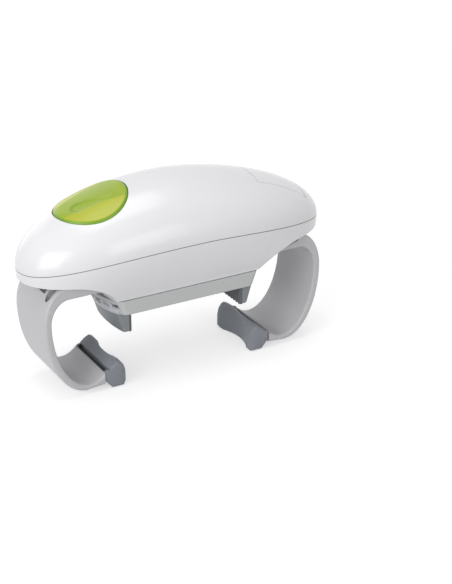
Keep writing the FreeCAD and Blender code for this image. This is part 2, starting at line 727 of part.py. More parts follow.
def rack_outline(module, low_x, high_x, back):
    """A toothed bar in plan: a tooth in the middle of the axis, teeth towards -Y, back at +Y."""
    pitch = math.pi * module
    thin = size("gear_backlash") * module / 2
    addendum, dedendum = 0.75 * module, 1.1 * module
    tan = math.tan(math.radians(20))
    points = []
    first = math.ceil((low_x + pitch / 2) / pitch)
    last = math.floor((high_x - pitch / 2) / pitch)
    for k in range(first, last + 1):
        middle = k * pitch
        root = pitch / 4 - thin + dedendum * tan
        tip = pitch / 4 - thin - addendum * tan
        points += [(middle - root, dedendum), (middle - tip, -addendum)]
        points += [(middle + tip, -addendum), (middle + root, dedendum)]
    points = [(low_x, dedendum)] + points + [(high_x, dedendum), (high_x, back), (low_x, back)]
    return points


def make_rack(module, pitch_y, low_x, high_x, back, z, height):
    """A straight rack beside a pinion on the axis, at +Y."""
    points = [Vector(x, y + pitch_y, z) for x, y in rack_outline(module, low_x, high_x, back - pitch_y)]
    return Part.Face(Part.makePolygon(points + points[:1])).extrude(Vector(0, 0, height))


def outline_between(points, y_low, y_high):
    """A side outline of straight lines, given its width between two places across."""
    corners = [Vector(x, y_low, z) for x, z in points]
    return Part.Face(Part.makePolygon(corners + corners[:1])).extrude(Vector(0, y_high - y_low, 0))


def arm_hollows():
    """What is hollowed out of the bar and shoulder: a middle pocket, two side grooves and a low rim."""
    start, over = size("bar_inner_x") + 4, size("hem_height")
    floor = size("bar_bottom_z") + size("arm_floor")
    reach, bend = size("arm_reach"), size("arm_reach") - size("arm_shoulder")
    end = reach - size("arm_hollow_end")
    half = size("arm_hollow_half")
    middle = outline_between(
        [(start, over), (start, floor), (bend, floor), (bend + 4.5, floor - 1.5), (end - 1.8, floor - 5),
         (end, floor - 4), (end + 0.3, over)], -half, half)
    tools = [middle]
    near, wide = size("arm_groove_inner"), size("arm_groove_width")
    last = reach - size("arm_groove_end")
    for sign in (1, -1):
        low, high = sorted((sign * near, sign * (near + wide)))
        groove = outline_between(
            [(start, over), (start, floor), (bend + 2, floor), (bend + 6.5, floor - 1.7),
             (last - 1.6, floor - 4), (last, floor - 2.2), (last, over)], low, high)
        centre = last - wide / 2
        tube = upright(centre, (low + high) / 2, 0, over, wide / 2)
        plan = tube.fuse(block(start, centre, low, high, 0, over))
        tools.append(groove.common(plan))
    rim = outline_between(
        [(start - 6, over), (start - 6, floor), (start + 8, floor), (bend - 2, floor + 3), (bend + 1, over)],
        -size("arm_width"), -near)
    tools.append(rim)
    return tools


def make_arm():
    """The arm on the tail side: C-shaped band, hollowed bar and rack."""
    half = size("arm_width") / 2
    band = across(arm_profile(), half)
    sides = [e for e in band.Edges if e.BoundBox.XLength > 0.01
             and abs(abs(e.BoundBox.YMin) - half) < 1e-3 and e.BoundBox.YLength < 1e-3]
    band = band.makeFillet(size("arm_edge"), sides)
    for hollow in arm_hollows():
        band = band.cut(hollow)
    rack = make_rack(size("arm_module"), size("arm_pinion_pitch"), -size("arm_rack_tip_x"),
                     size("bar_inner_x") + 1, size("arm_rack_back"), size("arm_rack_z"),
                     size("arm_rack_height"))
    return band.fuse(rack).removeSplitter()


def make_pad():
    """The soft grip pad on the tail side's arm: two lobes and a hollow that fits a jar."""
    tip, back = size("arm_tip_x"), size("arm_tip_x") - size("pad_slot_width")
    top, low, lobe = size("pad_top_z"), size("pad_bottom_z"), size("pad_lobe_x")
    slot = size("arm_tip_top_z") - size("pad_slot_depth")
    corners = [(back, size("arm_tip_top_z") + 1.5), (back - 1.5, top - 2), (lobe + 4.4, top),
               (lobe + 1.7, top - 3.3), (lobe + 0.3, top - 9), (lobe, low + 3), (lobe + 1.8, low),
               (lobe + 8, low), (tip - 1.6, low + 3.9), (tip, low + 6), (tip, slot), (back, slot)]
    half, radius = size("arm_width") / 2, size("pad_hollow_radius")
    solid = outline_between(corners, -half, half)
    solid = solid.cut(upright(size("pad_valley_x") - radius, 0, low - 5, top + 5, radius))
    plan = block(lobe, tip, -half, half, low - 1, top + 1)
    corner = size("pad_corner")
    plan = plan.makeFillet(corner, [e for e in plan.Edges
                                    if e.BoundBox.ZLength > top - low and e.BoundBox.XMax < lobe + 0.01])
    dip = size("pad_saddle")
    saddle = ((0.7 * half) ** 2 + dip ** 2) / (2 * dip)
    trough = Part.makeCylinder(saddle, tip, Vector(0, 0, top + saddle - dip), Vector(1, 0, 0))
    return solid.common(plan).cut(trough).removeSplitter()


# ---------------------------------------------------------------- gears

def tooth_angle(teeth, module, radius):
    """Half the angle that a tooth covers at a radius, from the involute of a 20 degree flank."""
    pitch = teeth * module / 2
    base = pitch * math.cos(math.radians(20))
    thick = (math.pi / 2 - size("gear_backlash")) * module / 2
    roll = math.acos(min(1.0, base / max(radius, base)))
    start = math.radians(20)
    return thick / pitch + (math.tan(start) - start) - (math.tan(roll) - roll)


def gear_face(teeth, module, phase):
    """Outline of a stub-toothed spur gear; phase is the angle of one tooth's middle, in degrees."""
    pitch = teeth * module / 2
    radii = (pitch - 1.1 * module, pitch, pitch + 0.75 * module)
    halves = [tooth_angle(teeth, module, radius) for radius in radii]
    points = []
    for k in range(teeth):
        middle = math.radians(phase) + 2 * math.pi * k / teeth
        flank = [(r, middle - h) for r, h in zip(radii, halves)]
        flank += [(r, middle + h) for r, h in zip(radii[::-1], halves[::-1])]
        points += [Vector(r * math.cos(a), r * math.sin(a), 0) for r, a in flank]
    return Part.Face(Part.makePolygon(points + points[:1]))


def gear(teeth, module, phase, x, y, z, thickness, bore):
    """A spur gear with a bore, standing at a place."""
    solid = gear_face(teeth, module, phase).extrude(Vector(0, 0, thickness))
    if bore > 0:
        solid = solid.cut(Part.makeCylinder(bore, thickness))
    solid.translate(Vector(x, y, z))
    return solid


def mesh_phase(direction, teeth, phase, other_teeth):
    """Phase of a gear that meshes with one of known phase, standing in a direction from it."""
    pitch, other = 360 / teeth, 360 / other_teeth
    offset = ((direction - phase) / pitch) % 1
    return direction + 180 + offset * other + other / 2


def axle_places():
    """Places of the third, second and first axle and of the motor, in that order."""
    third = Vector(size("third_axle_x"), 0, 0)
    steps = (
        ("second_turn", "third_module", "third_wheel_teeth", "second_pinion_teeth"),
        ("first_turn", "second_module", "second_wheel_teeth", "first_pinion_teeth"),
        ("motor_turn", "first_module", "first_wheel_teeth", "motor_pinion_teeth"),
    )
    places = [third]
    for turn, module, wheel, pinion in steps:
        distance = size(module) * (size(wheel) + size(pinion)) / 2
        angle = math.radians(size(turn))
        places.append(places[-1] + Vector(distance * math.cos(angle), distance * math.sin(angle), 0))
    return places


def compound(wheel, wheel_module, wheel_phase, wheel_z,
             pinion, pinion_module, pinion_phase, low, high, place):
    """A wheel and a pinion in one piece, on one bore."""
    bore = size("axle_radius") + size("axle_clearance")
    lower, upper = size("lower_plate_top") + size("gear_step"), size("upper_plate_z") - size("gear_step")
    sleeve = upright(place.x, place.y, lower, upper, size("sleeve_radius"))
    sleeve = sleeve.cut(upright(place.x, place.y, lower, upper, bore))
    return sleeve.fuse([
        gear(wheel, wheel_module, wheel_phase, place.x, place.y, wheel_z, size("wheel_thickness"), bore),
        gear(pinion, pinion_module, pinion_phase, place.x, place.y, low, high - low, bore),
    ])


def make_train():
    """The carriage gear, three compound gears and the motor pinion, all in mesh."""
    count = {name: int(size(name)) for name in (
        "carriage_gear_teeth", "third_pinion_teeth", "third_wheel_teeth", "second_pinion_teeth",
        "second_wheel_teeth", "first_pinion_teeth", "first_wheel_teeth", "motor_pinion_teeth")}
    third, second, first, motor = axle_places()
    face, step = size("wheel_thickness"), size("gear_step")
    bore = size("axle_radius") + size("axle_clearance")
    hub = size("hub_radius") - 2
    carriage = gear(count["carriage_gear_teeth"], size("final_module"), 0, 0, 0,
                    size("final_gear_z"), size("final_face"), hub)
    third_phase = mesh_phase(180, count["carriage_gear_teeth"], 0, count["third_pinion_teeth"])
    ends = size("final_gear_z"), size("upper_plate_z") - step
    sleeve = upright(third.x, third.y, *ends, size("sleeve_radius"))
    sleeve = sleeve.cut(upright(third.x, third.y, *ends, bore))
    third_gear = gear(count["third_pinion_teeth"], size("final_module"), third_phase, third.x, third.y,
                      size("final_gear_z"), size("final_face"), bore).fuse(sleeve)
    third_gear = third_gear.fuse(gear(count["third_wheel_teeth"], size("third_module"), 0, third.x, third.y,
                                      size("third_wheel_z"), face, bore))
    second_phase = mesh_phase(size("second_turn"), count["third_wheel_teeth"], 0,
                              count["second_pinion_teeth"])
    second_gear = compound(count["second_wheel_teeth"], size("second_module"), 0, size("second_wheel_z"),
                           count["second_pinion_teeth"], size("third_module"), second_phase,
                           size("third_wheel_z"), size("second_wheel_z"), second)
    first_phase = mesh_phase(size("first_turn"), count["second_wheel_teeth"], 0, count["first_pinion_teeth"])
    first_gear = compound(count["first_wheel_teeth"], size("first_module"), 0, size("first_wheel_z"),
                          count["first_pinion_teeth"], size("second_module"), first_phase,
                          size("second_wheel_z"), size("first_wheel_z"), first)
    motor_phase = mesh_phase(size("motor_turn"), count["first_wheel_teeth"], 0, count["motor_pinion_teeth"])
    pinion = gear(count["motor_pinion_teeth"], size("first_module"), motor_phase, motor.x, motor.y,
                  size("first_wheel_z"), face, 0)
    shaft = upright(motor.x, motor.y, size("first_wheel_z") + face, size("upper_plate_top") - 0.1, 1.0)
    node("carriage_gear", feature("carriage_gear", carriage))
    node("third_gear", feature("third_gear", third_gear.removeSplitter()))
    node("second_gear", feature("second_gear", second_gear.removeSplitter()))
    node("first_gear", feature("first_gear", first_gear.removeSplitter()))
    node("motor_pinion", feature("motor_pinion", pinion.fuse(shaft).removeSplitter()))
    return third, second, first, motor


# ---------------------------------------------------------------- lid jaws

def segment(z, inner_x, reach, bulge):
    """Plan of a jaw: straight towards the lid, square ends and an outer face that bows out."""
    wide = size("jaw_width") / 2
    end = reach - bulge
    corners = [Vector(end, wide, z), Vector(inner_x, wide, z),
               Vector(inner_x, -wide, z), Vector(end, -wide, z)]
    arc = Part.Arc(corners[3], Vector(reach, 0, z), corners[0]).toShape()
    return Part.Wire([arc] + [Part.LineSegment(p, q).toShape() for p, q in zip(corners, corners[1:])])


def upright_edges(solid, height, x_least):
    """The edges of a solid that run from its bottom to its top, beyond a place on the X axis."""
    return [e for e in solid.Edges if e.BoundBox.ZLength > height - 0.01 and abs(e.CenterOfMass.x) > x_least]


def make_jaw():
    """The jaw on the tail side, which leans in towards its lower edge."""
    inner = size("jaw_grip_x") + size("grip_thickness")
    top, low = size("jaw_top"), size("jaw_low")
    solid = Part.makeLoft([segment(low, inner, size("jaw_low_reach"), size("jaw_low_bulge")),
                           segment(top, inner, size("jaw_top_reach"), size("jaw_top_bulge"))], True, True)
    solid = solid.makeFillet(size("jaw_corner"), upright_edges(solid, top - low, inner + 1))
    hem = [e for e in solid.Edges if e.BoundBox.ZMax < low + 0.01 and e.BoundBox.XMax > inner + 0.1]
    solid = solid.makeFillet(size("jaw_hem"), hem)
    for y in (-size("jaw_screw_y"), size("jaw_screw_y")):
        hole = upright(size("jaw_screw_x"), y, top - 0.6 * size("jaw_drop"), top, size("screw_radius"))
        solid = solid.cut(hole)
    return solid


def make_grip():
    """The ridged strip that lines the tail side's jaw."""
    face, back = size("jaw_grip_x"), size("jaw_grip_x") + size("grip_thickness")
    half, low = size("jaw_width") / 2, size("jaw_low")
    count = int(size("grip_ridges"))
    pitch = 2 * half / count
    points = [Vector(back, half, low), Vector(back, -half, low)]
    for k in range(count):
        start = k * pitch - half
        points += [Vector(face + size("grip_ridge_depth"), start, low), Vector(face, start + pitch / 3, low),
                   Vector(face, start + 2 * pitch / 3, low)]
    points.append(Vector(face + size("grip_ridge_depth"), half, low))
    outline = Part.Face(Part.makePolygon(points + points[:1]))
    return outline.extrude(Vector(0, 0, size("jaw_top") - low - size("slider_clearance")))


def end_cone(z_low, z_high):
    """The round, leaning form of the carriage's end on the tail side, between two heights."""
    slope = size("tray_end_draft") / size("tray_height")
    radius, top = size("tray_end_radius"), size("tray_top")
    low, high = (radius - slope * (top - z) for z in (z_low, z_high))
    return Part.makeCone(low, high, z_high - z_low, Vector(size("tray_length") / 2 - radius, 0, z_low))


def flange_pockets():
    """Wedges that hollow out the slider's outer face, deepest at the top, in a row round its end."""
    top, depth = size("flange_top"), size("flange_pocket_depth")
    low = top - size("flange_pocket_drop")
    centre = size("tray_length") / 2 - size("tray_end_radius")
    slope = size("tray_end_draft") / size("tray_height")
    upper, lower = (size("tray_length") / 2 - slope * (size("tray_top") - z) for z in (top, low))
    half = size("flange_pocket") / 2
    wedge = outline_between([(lower, low), (upper - depth, low + 1), (upper - depth, top + 1),
                             (upper + 1, top + 1)], -half, half)
    wedges = []
    for k in (-5, -3, -1, 1, 3, 5):
        tool = wedge.copy()
        tool.rotate(Vector(centre, 0, 0), Vector(0, 0, 1), k * size("flange_pocket_pitch") / 2)
        wedges.append(tool)
    return wedges


def make_slider():
    """The slider on the tail side: plate, neck, outer block with its pockets, and the jaw's rack."""
    low, top, flange = size("slider_low"), size("slider_top"), size("flange_top")
    neck_low, start = size("jaw_top"), size("flange_inner_x")
    inner, grip = size("slider_inner_x"), size("jaw_grip_x") + size("grip_thickness")
    far, half = 2 * size("jaw_top_reach"), size("jaw_channel_width") / 2 - size("slider_clearance")
    neck_half = size("jaw_width") / 2
    slider = block(inner, far, -half, half, low, top)
    slider = slider.fuse([block(grip, far, -neck_half, neck_half, neck_low, low),
                          block(start, far, -half, half, low, flange)])
    slider = slider.removeSplitter().common(end_cone(neck_low, flange))
    for wedge in flange_pockets():
        slider = slider.cut(wedge)
    foot_x = inner + 6
    rack = make_rack(size("jaw_module"), size("jaw_pinion_pitch"), -size("jaw_rack_tip_x"), foot_x,
                     size("jaw_rack_back"), size("jaw_rack_z"), size("jaw_rack_height"))
    foot = block(inner, foot_x, size("jaw_pinion_pitch") + 1, size("jaw_rack_back"), low,
                 size("jaw_rack_z") + size("jaw_rack_height"))
    slider = slider.fuse([rack, foot])
    for y in (-size("jaw_screw_y"), size("jaw_screw_y")):
        slider = slider.cut(upright(size("jaw_screw_x"), y, neck_low, top, size("screw_radius")))
    return slider.removeSplitter()


def both_sides(shape, name_pattern):
    """Keeps a tail-side shape as two nodes: as it is on the right, turned half round on the left."""
    right = shape.copy()
    left = shape.copy()
    left.rotate(Vector(0, 0, 0), Vector(0, 0, 1), 180)
    for side, solid in (("left", left), ("right", right)):
        name = name_pattern.format(side)
        node(name, feature(name, solid))


# ---------------------------------------------------------------- plates, tub and fasteners

def plate(name, low_z, x_low, x_high, half_width, holes):
    """A flat gear plate with round holes, each hole as x, y and radius formulas."""
    owner = body(name)
    sketch = sketch_on(owner, "XY_Plane", low_z)
    rectangle(sketch, x_low, f"-{half_width}", x_high, half_width)
    for x, y, radius in holes:
        circle(sketch, x, y, radius)
    pad(owner, sketch, "plate_thickness")
    return node(name, owner)


def screw(name, x, y, head_z, length, up=True):
    """A pan-head screw; its head lies above head_z and its shank runs down, or the other way up."""
    head_low = head_z if up else f"{head_z} - screw_head_height"
    shank_low = f"{head_z} - ({length})" if up else head_z
    head = rod(name + "_head", x, y, head_low, "screw_head_radius", "screw_head_height")
    shank = rod(name + "_shank", x, y, shank_low, "screw_radius", length)
    return union(name, head, shank)


def four_formulas(x, y):
    """The four places of a rectangular pattern, as formulas."""
    return [(f"{a}{x}", f"{b}{y}") for a in ("", "-") for b in ("", "-")]


def turned_piece(name, x, y, z, radius, height, bore="0"):
    """A disc or ring on an upright axis, as a revolved sketch."""
    owner = body(name)
    owner.setExpression("Placement.Base.x", bound(x))
    owner.setExpression("Placement.Base.y", bound(y))
    sketch = sketch_on(owner, "XZ_Plane")
    rectangle(sketch, bore, z, radius, f"{z} + {height}")
    revolve(owner, sketch)
    return node(name, owner)


def make_cell(name, side):
    """An AA cell lying along X, with its small cap towards the nose."""
    owner = body(name)
    owner.Placement = Placement(Vector(0, 0, 0), Rotation(Vector(0, 1, 0), 90))
    owner.setExpression("Placement.Base.x", bound("cell_front_x"))
    owner.setExpression("Placement.Base.y", bound(f"{side} * cell_spacing / 2"))
    owner.setExpression("Placement.Base.z", bound("cell_height"))
    sketch = sketch_on(owner, "XZ_Plane")
    polygon(sketch, (("0", "0"), ("2.7", "0"), ("2.7", "1.2"), ("cell_radius - 0.6", "1.2"),
                     ("cell_radius", "1.8"), ("cell_radius", "cell_length - 0.5"),
                     ("cell_radius - 0.5", "cell_length"), ("0", "cell_length")))
    revolve(owner, sketch)
    return node(name, owner)


def make_tub():
    """The open tub that the two cells lie in, on ribs that stand on the gear plate and the shell."""
    outer = box("tub_outer", "tub_front_x", "-tub_half_width", "tub_bottom_z", "tub_rear_x - tub_front_x",
                "2 * tub_half_width", "cell_height - tub_bottom_z")
    inner = box("tub_inner", "tub_front_x + tub_wall", "tub_wall - tub_half_width",
                "tub_bottom_z + tub_wall", "tub_rear_x - tub_front_x - 2 * tub_wall",
                "2 * (tub_half_width - tub_wall)", "4 * cell_radius")
    hollow = cut("tub_hollow", outer, inner)
    front = box("tub_front_rib", "tub_front_x + 1", "-tub_half_width + 3", "lower_plate_top", "2",
                "2 * tub_half_width - 6", "tub_bottom_z - lower_plate_top + 0.5")
    rear = box("tub_rear_rib", "tub_rear_x - 4", "-tub_half_width + 3", "hem_height + housing_wall", "2",
               "2 * tub_half_width - 6", "tub_bottom_z - hem_height - housing_wall + 0.5")
    web = box("tub_web", "tub_front_x + tub_wall / 2", "-0.3", "tub_bottom_z",
              "tub_rear_x - tub_front_x - tub_wall", "0.6", "cell_radius * 0.6")
    node("battery_tub", union("battery_tub", hollow, front, rear, web))


def make_contacts():
    """Four thin contact plates, one at each end of each cell."""
    plates = []
    ends = (("front", "cell_front_x - 2 * contact_thickness"), ("rear", "cell_rear_x + contact_thickness"))
    for end, x in ends:
        for side, word in (("-1", "near"), ("1", "far")):
            y = f"{side} * cell_spacing / 2 - contact_width / 2"
            plates.append(box(f"contact_{end}_{word}", x, y, "cell_height - 5.8",
                              "contact_thickness", "contact_width", "contact_width"))
    node("battery_contacts", group("battery_contacts", *plates))


def make_carriage():
    """The tray that turns with the lid jaws: round leaning ends, a T-shaped channel, a post and a hub."""
    low, top, half = size("tray_bottom"), size("tray_top"), size("tray_width") / 2
    tail = end_cone(low, top).common(block(0, size("tray_length"), -half, half, low, top))
    nose = tail.copy()
    nose.rotate(Vector(0, 0, 0), Vector(0, 0, 1), 180)
    tray = tail.fuse(nose).removeSplitter()
    tray = tray.makeFillet(size("tray_corner"), upright_edges(tray, size("tray_height"), half))
    hem = [e for e in tray.Edges if e.BoundBox.ZMax < low + 0.01]
    tray = tray.makeFillet(size("tray_edge"), hem)
    long = size("tray_length")
    lip = low + size("jaw_lip_height")
    slot, channel = size("jaw_slot_width") / 2, size("jaw_channel_width") / 2
    tray = tray.cut(block(-long, long, -slot, slot, low - 1, lip + 0.1))
    tray = tray.cut(block(-long, long, -channel, channel, lip, low + size("jaw_channel_height")))
    gear_z, hub = size("final_gear_z"), size("hub_radius")
    post = upright(0, 0, lip, low + size("jaw_channel_height") + 0.5, size("pivot_radius"))
    tray = tray.fuse([upright(0, 0, top - 1, gear_z, hub), post,
                      upright(0, 0, gear_z - 1, gear_z + size("final_face"), hub - 2)])
    node("carriage", feature("carriage", tray.removeSplitter()))


def make_cover():
    """The plate that closes the middle of the channel, between the lips."""
    owner = body("carriage_cover")
    sketch = sketch_on(owner, "XY_Plane", "tray_bottom")
    rectangle(sketch, "-cover_length / 2", "slider_clearance - jaw_slot_width / 2",
              "cover_length / 2", "jaw_slot_width / 2 - slider_clearance")
    pad(owner, sketch, "jaw_lip_height")
    node("carriage_cover", owner)


def make_motor(x, y):
    """A small round motor: can with a boss, flattened cap with two terminals."""
    can = body("motor")
    can.Placement.Base = Vector(x, y, 0)
    sketch = sketch_on(can, "XZ_Plane")
    low = "upper_plate_top"
    polygon(sketch, (("1.4", low), ("1.4", f"{low} - 1"), ("motor_boss_radius", f"{low} - 1"),
                     ("motor_boss_radius", low), ("motor_radius - 1.5", low),
                     ("motor_radius", f"{low} + 1.5"), ("motor_radius", f"{low} + motor_length"),
                     ("1.4", f"{low} + motor_length")))
    revolve(can, sketch)
    node("motor", can)
    top = "upper_plate_top + motor_length"
    cap = rod("motor_cap_disc", "0", "0", top, "motor_radius - 0.8", "2.2")
    lugs = [box(f"motor_lug_{k}", f"{x} - 1.2", "-0.25", top, "2.4", "0.5", "5")
            for k, x in enumerate(("-6", "6"))]
    whole = union("motor_end_cap", cap, *lugs)
    whole.Placement.Base = Vector(x, y, 0)
    node("motor_end_cap", whole)


def make_board():
    """The control board on its four pillars, with the push switch that the button presses."""
    owner = body("control_board")
    sketch = sketch_on(owner, "XY_Plane", "board_height")
    rectangle(sketch, "board_x - board_length / 2", "-board_width / 2",
              "board_x + board_length / 2", "board_width / 2")
    places = [(f"board_x {a} board_pillar_x", f"{b}board_pillar_y") for a in "+-" for b in ("", "-")]
    for x, y in places:
        circle(sketch, x, y, "screw_radius")
    pad(owner, sketch, "board_thickness")
    node("control_board", owner)
    pillars, screws = [], []
    for k, (x, y) in enumerate(places):
        pillar = rod(f"board_pillar_rod_{k}", x, y, "lower_plate_top", "post_radius - 0.5",
                     "board_height - lower_plate_top")
        hole = rod(f"board_pillar_hole_{k}", x, y, "board_height - 6", "screw_radius", "6")
        pillars.append(cut(f"board_pillar_{k}", pillar, hole))
        screws.append(screw(f"board_screw_{k}", x, y, "board_height + board_thickness", "6.5"))
    node("board_pillars", group("board_pillars", *pillars))
    node("board_screws", group("board_screws", *screws))


def make_switch():
    """The push switch, on the line that the button's stem moves along."""
    frame = button_frame()
    lean = math.asin(frame.Rotation.multVec(Vector(0, 0, 1)).x)
    x = frame.Base.x - (frame.Base.z - size("switch_top")) * math.tan(lean)
    half, top = size("switch_side") / 2, size("switch_top")
    base = block(x - half, x + half, -half, half, size("board_height") + size("board_thickness"), top - 1)
    knob = upright(x, 0, top - 1, top, size("switch_knob_radius"))
    node("push_switch", feature("push_switch", base.fuse(knob)))


def main():
    """Builds every sub-part, checks it and writes its file."""
    fill_sheet()
    wall, gap = size("housing_wall"), size("seam_gap")
    outer = housing_form(upper_wire, 0, gap / 2)
    inner = housing_form(upper_wire, wall, -1)
    node("top_shell", feature("top_shell", make_top_shell(outer, inner)))
    under_door = housing_form(upper_wire, size("door_thickness"), -1)
    node("battery_door", feature("battery_door", outer.cut(under_door).common(door_block(0))))
    node("start_button", feature("start_button", make_button(outer)))
    node("bottom_shell", feature("bottom_shell", make_bottom_shell()))

    third, second, first, motor = make_train()
    axle_holes = [(str(p.x), str(p.y), "axle_radius") for p in (second, first)]
    posts = four_formulas("post_x", "post_y")
    spacers = [("spacer_rear_x", "spacer_y"), ("spacer_rear_x", "-spacer_y"),
               ("spacer_front_x", "spacer_y"), ("spacer_front_x", "-spacer_y")]
    tapped = [(x, y, "screw_radius") for x, y in spacers]
    plate("lower_gear_plate", "lower_plate_z", "-plate_front_x", "plate_rear_x", "plate_half_width",
          [("third_axle_x", "0", "sleeve_radius + 0.4"), ("0", "0", "hub_axle_radius")] + axle_holes
          + [(x, y, "screw_radius + screw_clearance") for x, y in posts] + tapped)
    plate("upper_gear_plate", "upper_plate_z", "-upper_front_x", "upper_rear_x", "upper_half_width",
          [("third_axle_x", "0", "axle_radius"), (str(motor.x), str(motor.y), "motor_boss_radius")]
          + axle_holes + tapped)
    between = "upper_plate_z - lower_plate_top"
    node("plate_spacers", group("plate_spacers", *[
        cut(f"spacer_{k}", rod(f"spacer_rod_{k}", x, y, "lower_plate_top", "post_radius", between),
            rod(f"spacer_bore_{k}", x, y, "lower_plate_top", "screw_radius + 0.1", between))
        for k, (x, y) in enumerate(spacers)]))
    node("spacer_screws", group("spacer_screws", *[
        screw(f"spacer_screw_{k}", x, y, "upper_plate_top", "upper_plate_top - lower_plate_z - 0.2")
        for k, (x, y) in enumerate(spacers)]))
    node("plate_screws", group("plate_screws", *[
        screw(f"plate_screw_{k}", x, y, "lower_plate_top", "8") for k, (x, y) in enumerate(posts)]))
    seat = size("hem_height") + size("head_recess")
    node("shell_screws", group("shell_screws", *[
        screw(f"shell_screw_{k}", str(x), str(y), "hem_height + head_recess",
              str(seam(x) + gap + size("thread_depth") - seat), False)
        for k, (x, y) in enumerate(four(size("boss_x"), size("boss_y")))]))
    lengths = [(third, "floor_top - 1"), (second, "lower_plate_z"), (first, "lower_plate_z")]
    node("gear_axles", group("gear_axles", *[
        rod(f"gear_axle_{k}", str(p.x), str(p.y), low, "axle_radius", f"upper_plate_top - ({low})")
        for k, (p, low) in enumerate(lengths)]))
    make_motor(motor.x, motor.y)

    make_carriage()
    make_cover()
    turned_piece("lid_stop_pad", "0", "0", "0", "stop_pad_radius", "tray_bottom")
    turned_piece("hub_retainer", "0", "0", "final_gear_z + final_face", "hub_radius + 0.5", "1.1")
    turned_piece("clutch_washer", "0", "0", "arm_rack_z - 0.5", "hub_radius - 0.5", "0.5",
                 "hub_axle_radius + axle_clearance")
    node("arm_pinion_axle", rod("arm_pinion_axle", "0", "0", "arm_rack_z - 0.4", "hub_axle_radius",
                                "lower_plate_top - arm_rack_z + 0.4"))
    node("arm_pinion", feature("arm_pinion", gear(
        int(size("arm_pinion_teeth")), size("arm_module"), 0, 0, 0, size("arm_rack_z"),
        size("arm_rack_height"), size("hub_axle_radius") + size("axle_clearance"))))
    teeth = int(size("jaw_pinion_teeth"))
    node("jaw_pinion", feature("jaw_pinion", gear(
        teeth, size("jaw_module"), 90 - 180 / teeth, 0, 0, size("jaw_rack_z"), size("jaw_rack_height"),
        size("pivot_radius") + size("axle_clearance"))))
    both_sides(make_arm(), "{}_arm")
    both_sides(make_pad(), "{}_arm_pad")
    both_sides(make_slider(), "{}_jaw_slider")
    both_sides(make_jaw(), "{}_lid_jaw")
    both_sides(make_grip(), "{}_jaw_grip")
    for word, sign in (("left", "-"), ("right", "")):
        screws = [screw(f"{word}_jaw_screw_{k}", f"{sign}jaw_screw_x", f"{y}jaw_screw_y", "slider_top",
                        "slider_thickness + 6") for k, y in enumerate(("", "-"))]
        node(f"{word}_jaw_screws", group(f"{word}_jaw_screws", *screws))

    make_tub()
    make_contacts()
    make_cell("aa_cell_near", "-1")
    make_cell("aa_cell_far", "1")
    make_board()
    make_switch()

    doc.recompute()
    failed = [thing.Name for thing in doc.Objects if {"Invalid", "Error"} & set(thing.State)]
    if failed:
        raise RuntimeError("objects that failed: " + ", ".join(failed))
    os.makedirs("parts", exist_ok=True)
    for name, thing in nodes.items():
        if thing.Shape.isNull() or not thing.Shape.isValid():
            raise RuntimeError(f"{name} has no valid shape")
        thing.Shape.exportStep(f"parts/{name}.step")
        bounds = thing.Shape.BoundBox
        print(f"{name:20s} {len(thing.Shape.Solids)} solids {thing.Shape.Volume:9.0f} mm3 "
              f"x {bounds.XMin:7.2f} {bounds.XMax:7.2f} y {bounds.YMin:6.2f} {bounds.YMax:6.2f} "
              f"z {bounds.ZMin:6.2f} {bounds.ZMax:6.2f}")


main()
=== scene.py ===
"""Dresses the electric jar opener: finishes, detailed outer pieces, floor, lamps and camera.

The frame is the CAD model's: X along the housing with the button at -X, Z up, and the origin on the
turning axis, on the underside of the pad that meets the lid.  Pieces are worked out in millimetres
and put into their meshes in metres.
"""

import json
import logging
import math
from collections.abc import Callable
from dataclasses import dataclass
from enum import Enum

import bmesh
import bpy
import numpy as np
from mathutils import Matrix, Vector

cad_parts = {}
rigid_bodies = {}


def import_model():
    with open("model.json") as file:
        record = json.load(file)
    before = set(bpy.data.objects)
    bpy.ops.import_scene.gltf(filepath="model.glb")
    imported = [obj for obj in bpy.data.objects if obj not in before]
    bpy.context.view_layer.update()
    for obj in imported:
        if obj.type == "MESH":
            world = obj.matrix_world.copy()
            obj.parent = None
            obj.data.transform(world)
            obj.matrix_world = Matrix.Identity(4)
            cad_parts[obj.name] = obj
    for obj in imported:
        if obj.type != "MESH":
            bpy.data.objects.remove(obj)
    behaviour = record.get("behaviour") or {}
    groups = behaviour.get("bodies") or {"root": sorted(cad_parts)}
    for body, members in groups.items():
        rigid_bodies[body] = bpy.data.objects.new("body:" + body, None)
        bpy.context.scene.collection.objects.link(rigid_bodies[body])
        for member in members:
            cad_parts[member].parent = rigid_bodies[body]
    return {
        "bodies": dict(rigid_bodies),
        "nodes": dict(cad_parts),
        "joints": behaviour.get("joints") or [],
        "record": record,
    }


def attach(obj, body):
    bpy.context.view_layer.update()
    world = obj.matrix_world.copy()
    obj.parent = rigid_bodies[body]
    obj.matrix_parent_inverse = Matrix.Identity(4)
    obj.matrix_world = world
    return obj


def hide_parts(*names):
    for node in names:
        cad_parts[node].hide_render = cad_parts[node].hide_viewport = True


log = logging.getLogger("jar_opener")
MM = 0.001
Pair = tuple[float, float]
Triple = tuple[float, float, float]


# ---- shader maths

